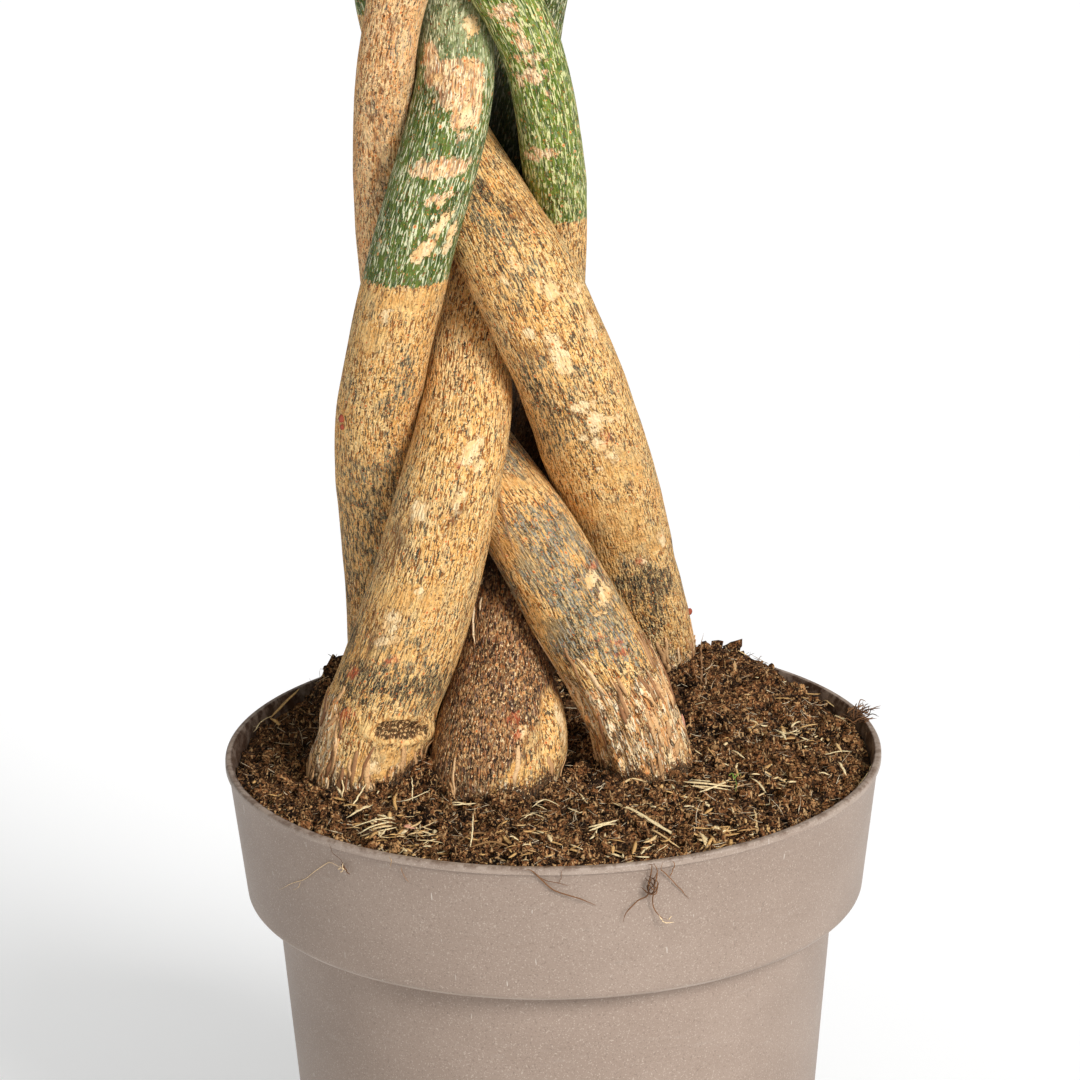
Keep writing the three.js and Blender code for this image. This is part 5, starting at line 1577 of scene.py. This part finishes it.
def onBand(pixels, off):
    # places off the outside of the pot's band, in front
    angle, height = np.radians(np.linspace(181, 359, 357))[:, None], np.linspace(181, 240, 60)
    share = (height - pot["bandBase"]) / (pot["height"] - pot["bandBase"])
    points = roundPoints(mix(pot["bandBaseRadius"], pot["bandTopRadius"], share), angle, height).reshape(-1, 3)
    found = points[shownAt(points, pixels)]
    return found + found * (1, 1, 0) / np.hypot(found[:, 0], found[:, 1])[:, None] * off[:, None]


def onSoil(pixels, off):
    # places straight above the soil
    angle, radius = turns(360)[:, None], np.linspace(4, 131, 128)
    x, y = (radius * np.cos(angle)).ravel(), (radius * np.sin(angle)).ravel()
    points = np.stack([x, y, heaped(x, y)], -1)
    return points[shownAt(points, pixels)] + (0, 0, 1) * off[:, None]


def onTrunk(name):
    # places off the side of a trunk that faces the camera
    def place(pixels, off):
        skin = skins[name]
        flat = skin["points"].reshape(-1, 3)
        at = shownAt(flat, pixels, skin["facing"].ravel() > -0.05)
        return flat[at] + np.column_stack([skin["out"].reshape(-1, 2)[at], 0 * off]) * off[:, None]
    return place


def strandAlong(points, radii, flat=1.0):
    # a tube through the points, slightly wavy and thinner at its ends
    chord = np.append(0, np.cumsum(np.linalg.norm(np.diff(points, axis=0), axis=1) + 0.01))
    t = np.linspace(0, 1, loose["steps"])
    path = curveThrough(np.column_stack([chord, points]), t * chord[-1])[:, 1:]
    path += 0.22 * np.stack([lumps(t * 9 + points[0, 0], t, 3), lumps(t * 9 + points[0, 1], t, 4), 0 * t], -1)
    thin = np.minimum(1, 4 * np.minimum(t + 0.06, 1.06 - t))
    return tubeGrid(path, mix(*radii, t) * thin, loose["sides"], flat)


def laid(place, tone, pixels, radii, flat=1.0):
    # a strand through places that the photo shows
    spots = np.array(pixels, float)
    return tone, strandAlong(place(spots[:, :2], spots[:, 2]), radii, flat)


def laidOnSoil(strands):
    return [laid(onSoil, tone, pixels, (wide * 0.7, wide * 0.55), flat) for tone, wide, flat, pixels in strands]


def splinters():
    # straight on the soil, a little raised in the middle
    for tone, wide, x, y, endX, endY in loose["shards"]:
        yield tone, wide, 0.3, [(x, y, 1.8), ((x + endX) / 2, (y + endY) / 2, 2.6), (endX, endY, 2.4)]


def hairsOnTrunks():
    # strands along a trunk's skin, and splinters that stand in the soil and lean
    for name, tone, wide, flat, pixels in loose["onTrunks"]:
        yield laid(onTrunk(name), tone, pixels, (wide, wide * 0.8), flat)
    for tone, wide, pixel, tall, lean in loose["splinters"]:
        foot = onSoil(np.array([pixel], float), np.array([-2.0]))[0]
        climb = np.array([0, 0.4, 0.75, 1])[:, None]
        rise = foot + climb * (lean[0], lean[1], tall) + 0.5 * np.sin(climb * 7) * (1, 0.4, 0)
        yield tone, strandAlong(rise + climb**2 * (0.4, 0, 0), (wide, wide * 0.25), 0.5)


def tuftStrands(rng):
    # short bent strands that start round one place and point mostly outwards
    settings = loose["tuft"]
    for n in range(settings["strands"]):
        start = np.array(settings["place"]) + rng.normal(0, (2.0, 5.0, 0.8))
        away = rng.normal((0.5, 0, 0.35), (0.6, 0.8, 0.35))
        long = rng.uniform(*settings["length"]) * away / np.linalg.norm(away)
        spots = np.array([start, start + long * 0.5 + rng.normal(0, 0.8, 3), start + long * (1, 1, 0.6)])
        yield rng.uniform(0, 0.4), strandAlong(spots, (settings["radius"], settings["radius"] * 0.7))


def flakeStrips(rng, name, count):
    # strips of a foot's own skin, narrow at both ends and lifted at one
    settings, skin = loose["flake"], skins[name]
    steps = np.arange(settings["rows"])
    along = steps / steps[-1]
    rows, around = skin["flaky"].shape
    ground = (skin["heights"] > settings["above"])[:, None] & (skin["flaky"] > 0.5)
    at = rng.choice(np.flatnonzero(ground), count)
    first, column = at // around, at % around
    stride = rng.integers(1, 3, count)
    row = np.minimum(first[:, None] + steps * stride[:, None], rows - 1)[:, :, None]
    drift = (rng.normal(0, settings["drift"], (count, 1)) * steps).round().astype(int)
    sheet = (column[:, None] + drift)[:, :, None] + np.arange(3)
    points, out = skin["points"][row, sheet % around], skin["out"][row, sheet % around]
    out = np.concatenate([out, 0 * out[..., :1]], -1)
    share = np.where(rng.uniform(0, 1, count) < 0.6, 1.0, -1.0)[:, None] * (along - 0.5) + 0.5
    lift = 0.2 + rng.uniform(*settings["lift"], count)[:, None] * share**2
    upper = points + out * lift[:, :, None, None]
    narrow = 0.15 + 0.85 * np.sin(np.pi * (0.12 + 0.76 * along))[None, :, None, None]
    width = narrow * rng.uniform(*settings["width"], count)[:, None, None, None]
    upper = upper[:, :, 1:2] + (upper - upper[:, :, 1:2]) * width
    lower = upper - out * settings["thick"]
    return np.concatenate([upper, lower[:, :, ::-1]], 2), rng.uniform(0, settings["palest"], count)


def nubTubes():
    # short upright tubes whose radius rounds off as a ball's does
    for name, x, y, size in loose["nubs"]:
        place = onTrunk(name)(np.array([[x, y]], float), np.array([0.2]))[0]
        t = np.linspace(-1, 1, 9)
        yield 0.3, tubeGrid(place + t[:, None] * (0.3 * size, 0.1 * size, size), size * 0.8 * np.sqrt(1.02 - t**2), 9)


def makeLoose(strawFinish):
    finishes = {name: strandFinish(name, *tones) for name, tones in loose["tones"].items()}

    def piece(name, strands, finish, slotName="soil"):
        pairs = [(tube, np.full((*tube.shape[:2], 1), float(tone))) for tone, tube in strands]
        points, faces, shade = joinGrids(pairs)
        makePiece(name, points, faces, finish, slotName, {"shade": shade.ravel()})

    roots = [laid(onBand, tone, pixels, (wide, narrow)) for tone, wide, narrow, pixels in loose["rootsOverRim"]]
    piece("rootsOverRim", roots, finishes["looseRoot"])
    piece("strawsOnSoil", laidOnSoil(loose["onSoil"] + list(splinters())), strawFinish)
    piece("pinkFlakes", laidOnSoil(loose["pinkFlake"]), finishes["pinkFlake"])
    piece("greenSprout", laidOnSoil(loose["sprout"]), finishes["youngGreen"])
    piece("rootHairs", hairsOnTrunks(), finishes["looseRoot"], "bark")
    rng = np.random.default_rng(23)
    piece("fibreTuft", tuftStrands(rng), finishes["looseRoot"])
    flakes = [flakeStrips(rng, name, count) for name, count in loose["flakes"].items()]
    strips, tones = (np.concatenate(parts) for parts in zip(*flakes))
    makeStrands("barkFlakes", strips, tones, finishes["barkFlake"], "bark")
    piece("barkNubs", nubTubes(), finishes["redNub"], "bark")


makeLoose(strawFinish)
print("loose strands made")


# Floor and light

studio = {
    "floorSize": 120.0, "floorShade": 0.6, "floorGlow": 0.42, "world": 0.18,
    "suns": {  # from where, breadth in degrees and strength
        "keyRight": ((3.2, -4.3, 3.35), 24, 3.05),
        "frontSoft": ((0.2, -4.5, 2.6), 50, 0.45),
        "topSoft": ((0.4, 0.2, 5.65), 30, 0.8),
    },
}


def stagePiece(name, points, faces, shade, glow):
    mesh = bpy.data.meshes.new(name)
    mesh.from_pydata(points, [], faces)
    piece = addObject(name, mesh)
    finish = newFinish(name)[0]
    shader = finish.node_tree.nodes["Principled BSDF"]
    for socket, value in (("Base Color", (shade, shade, shade, 1)), ("Roughness", 0.9), ("Specular IOR Level", 0.0),
                          ("Emission Color", (1, 1, 1, 1)), ("Emission Strength", glow)):
        shader.inputs[socket].default_value = value
    mesh.materials.append(finish)


def makeStudio():
    half = studio["floorSize"] / 2
    corners = [(-half, -half), (half, -half), (half, half), (-half, half)]
    stagePiece("paleFloor", [(x, y, 0) for x, y in corners], [(0, 1, 2, 3)], studio["floorShade"], studio["floorGlow"])
    world = bpy.data.worlds.new("studioWorld")
    world.use_nodes = True
    background = world.node_tree.nodes["Background"]
    background.inputs["Color"].default_value = (1, 1, 1, 1)
    background.inputs["Strength"].default_value = studio["world"]
    bpy.context.scene.world = world
    for name, (origin, breadth, strength) in studio["suns"].items():
        lamp = bpy.data.lights.new(name, "SUN")
        lamp.angle, lamp.energy = math.radians(breadth), strength
        addObject(name, lamp).rotation_euler = Vector(origin).to_track_quat("Z", "Y").to_euler()
    bpy.context.scene.view_settings.view_transform = "Standard"


makeStudio()
print("studio set")
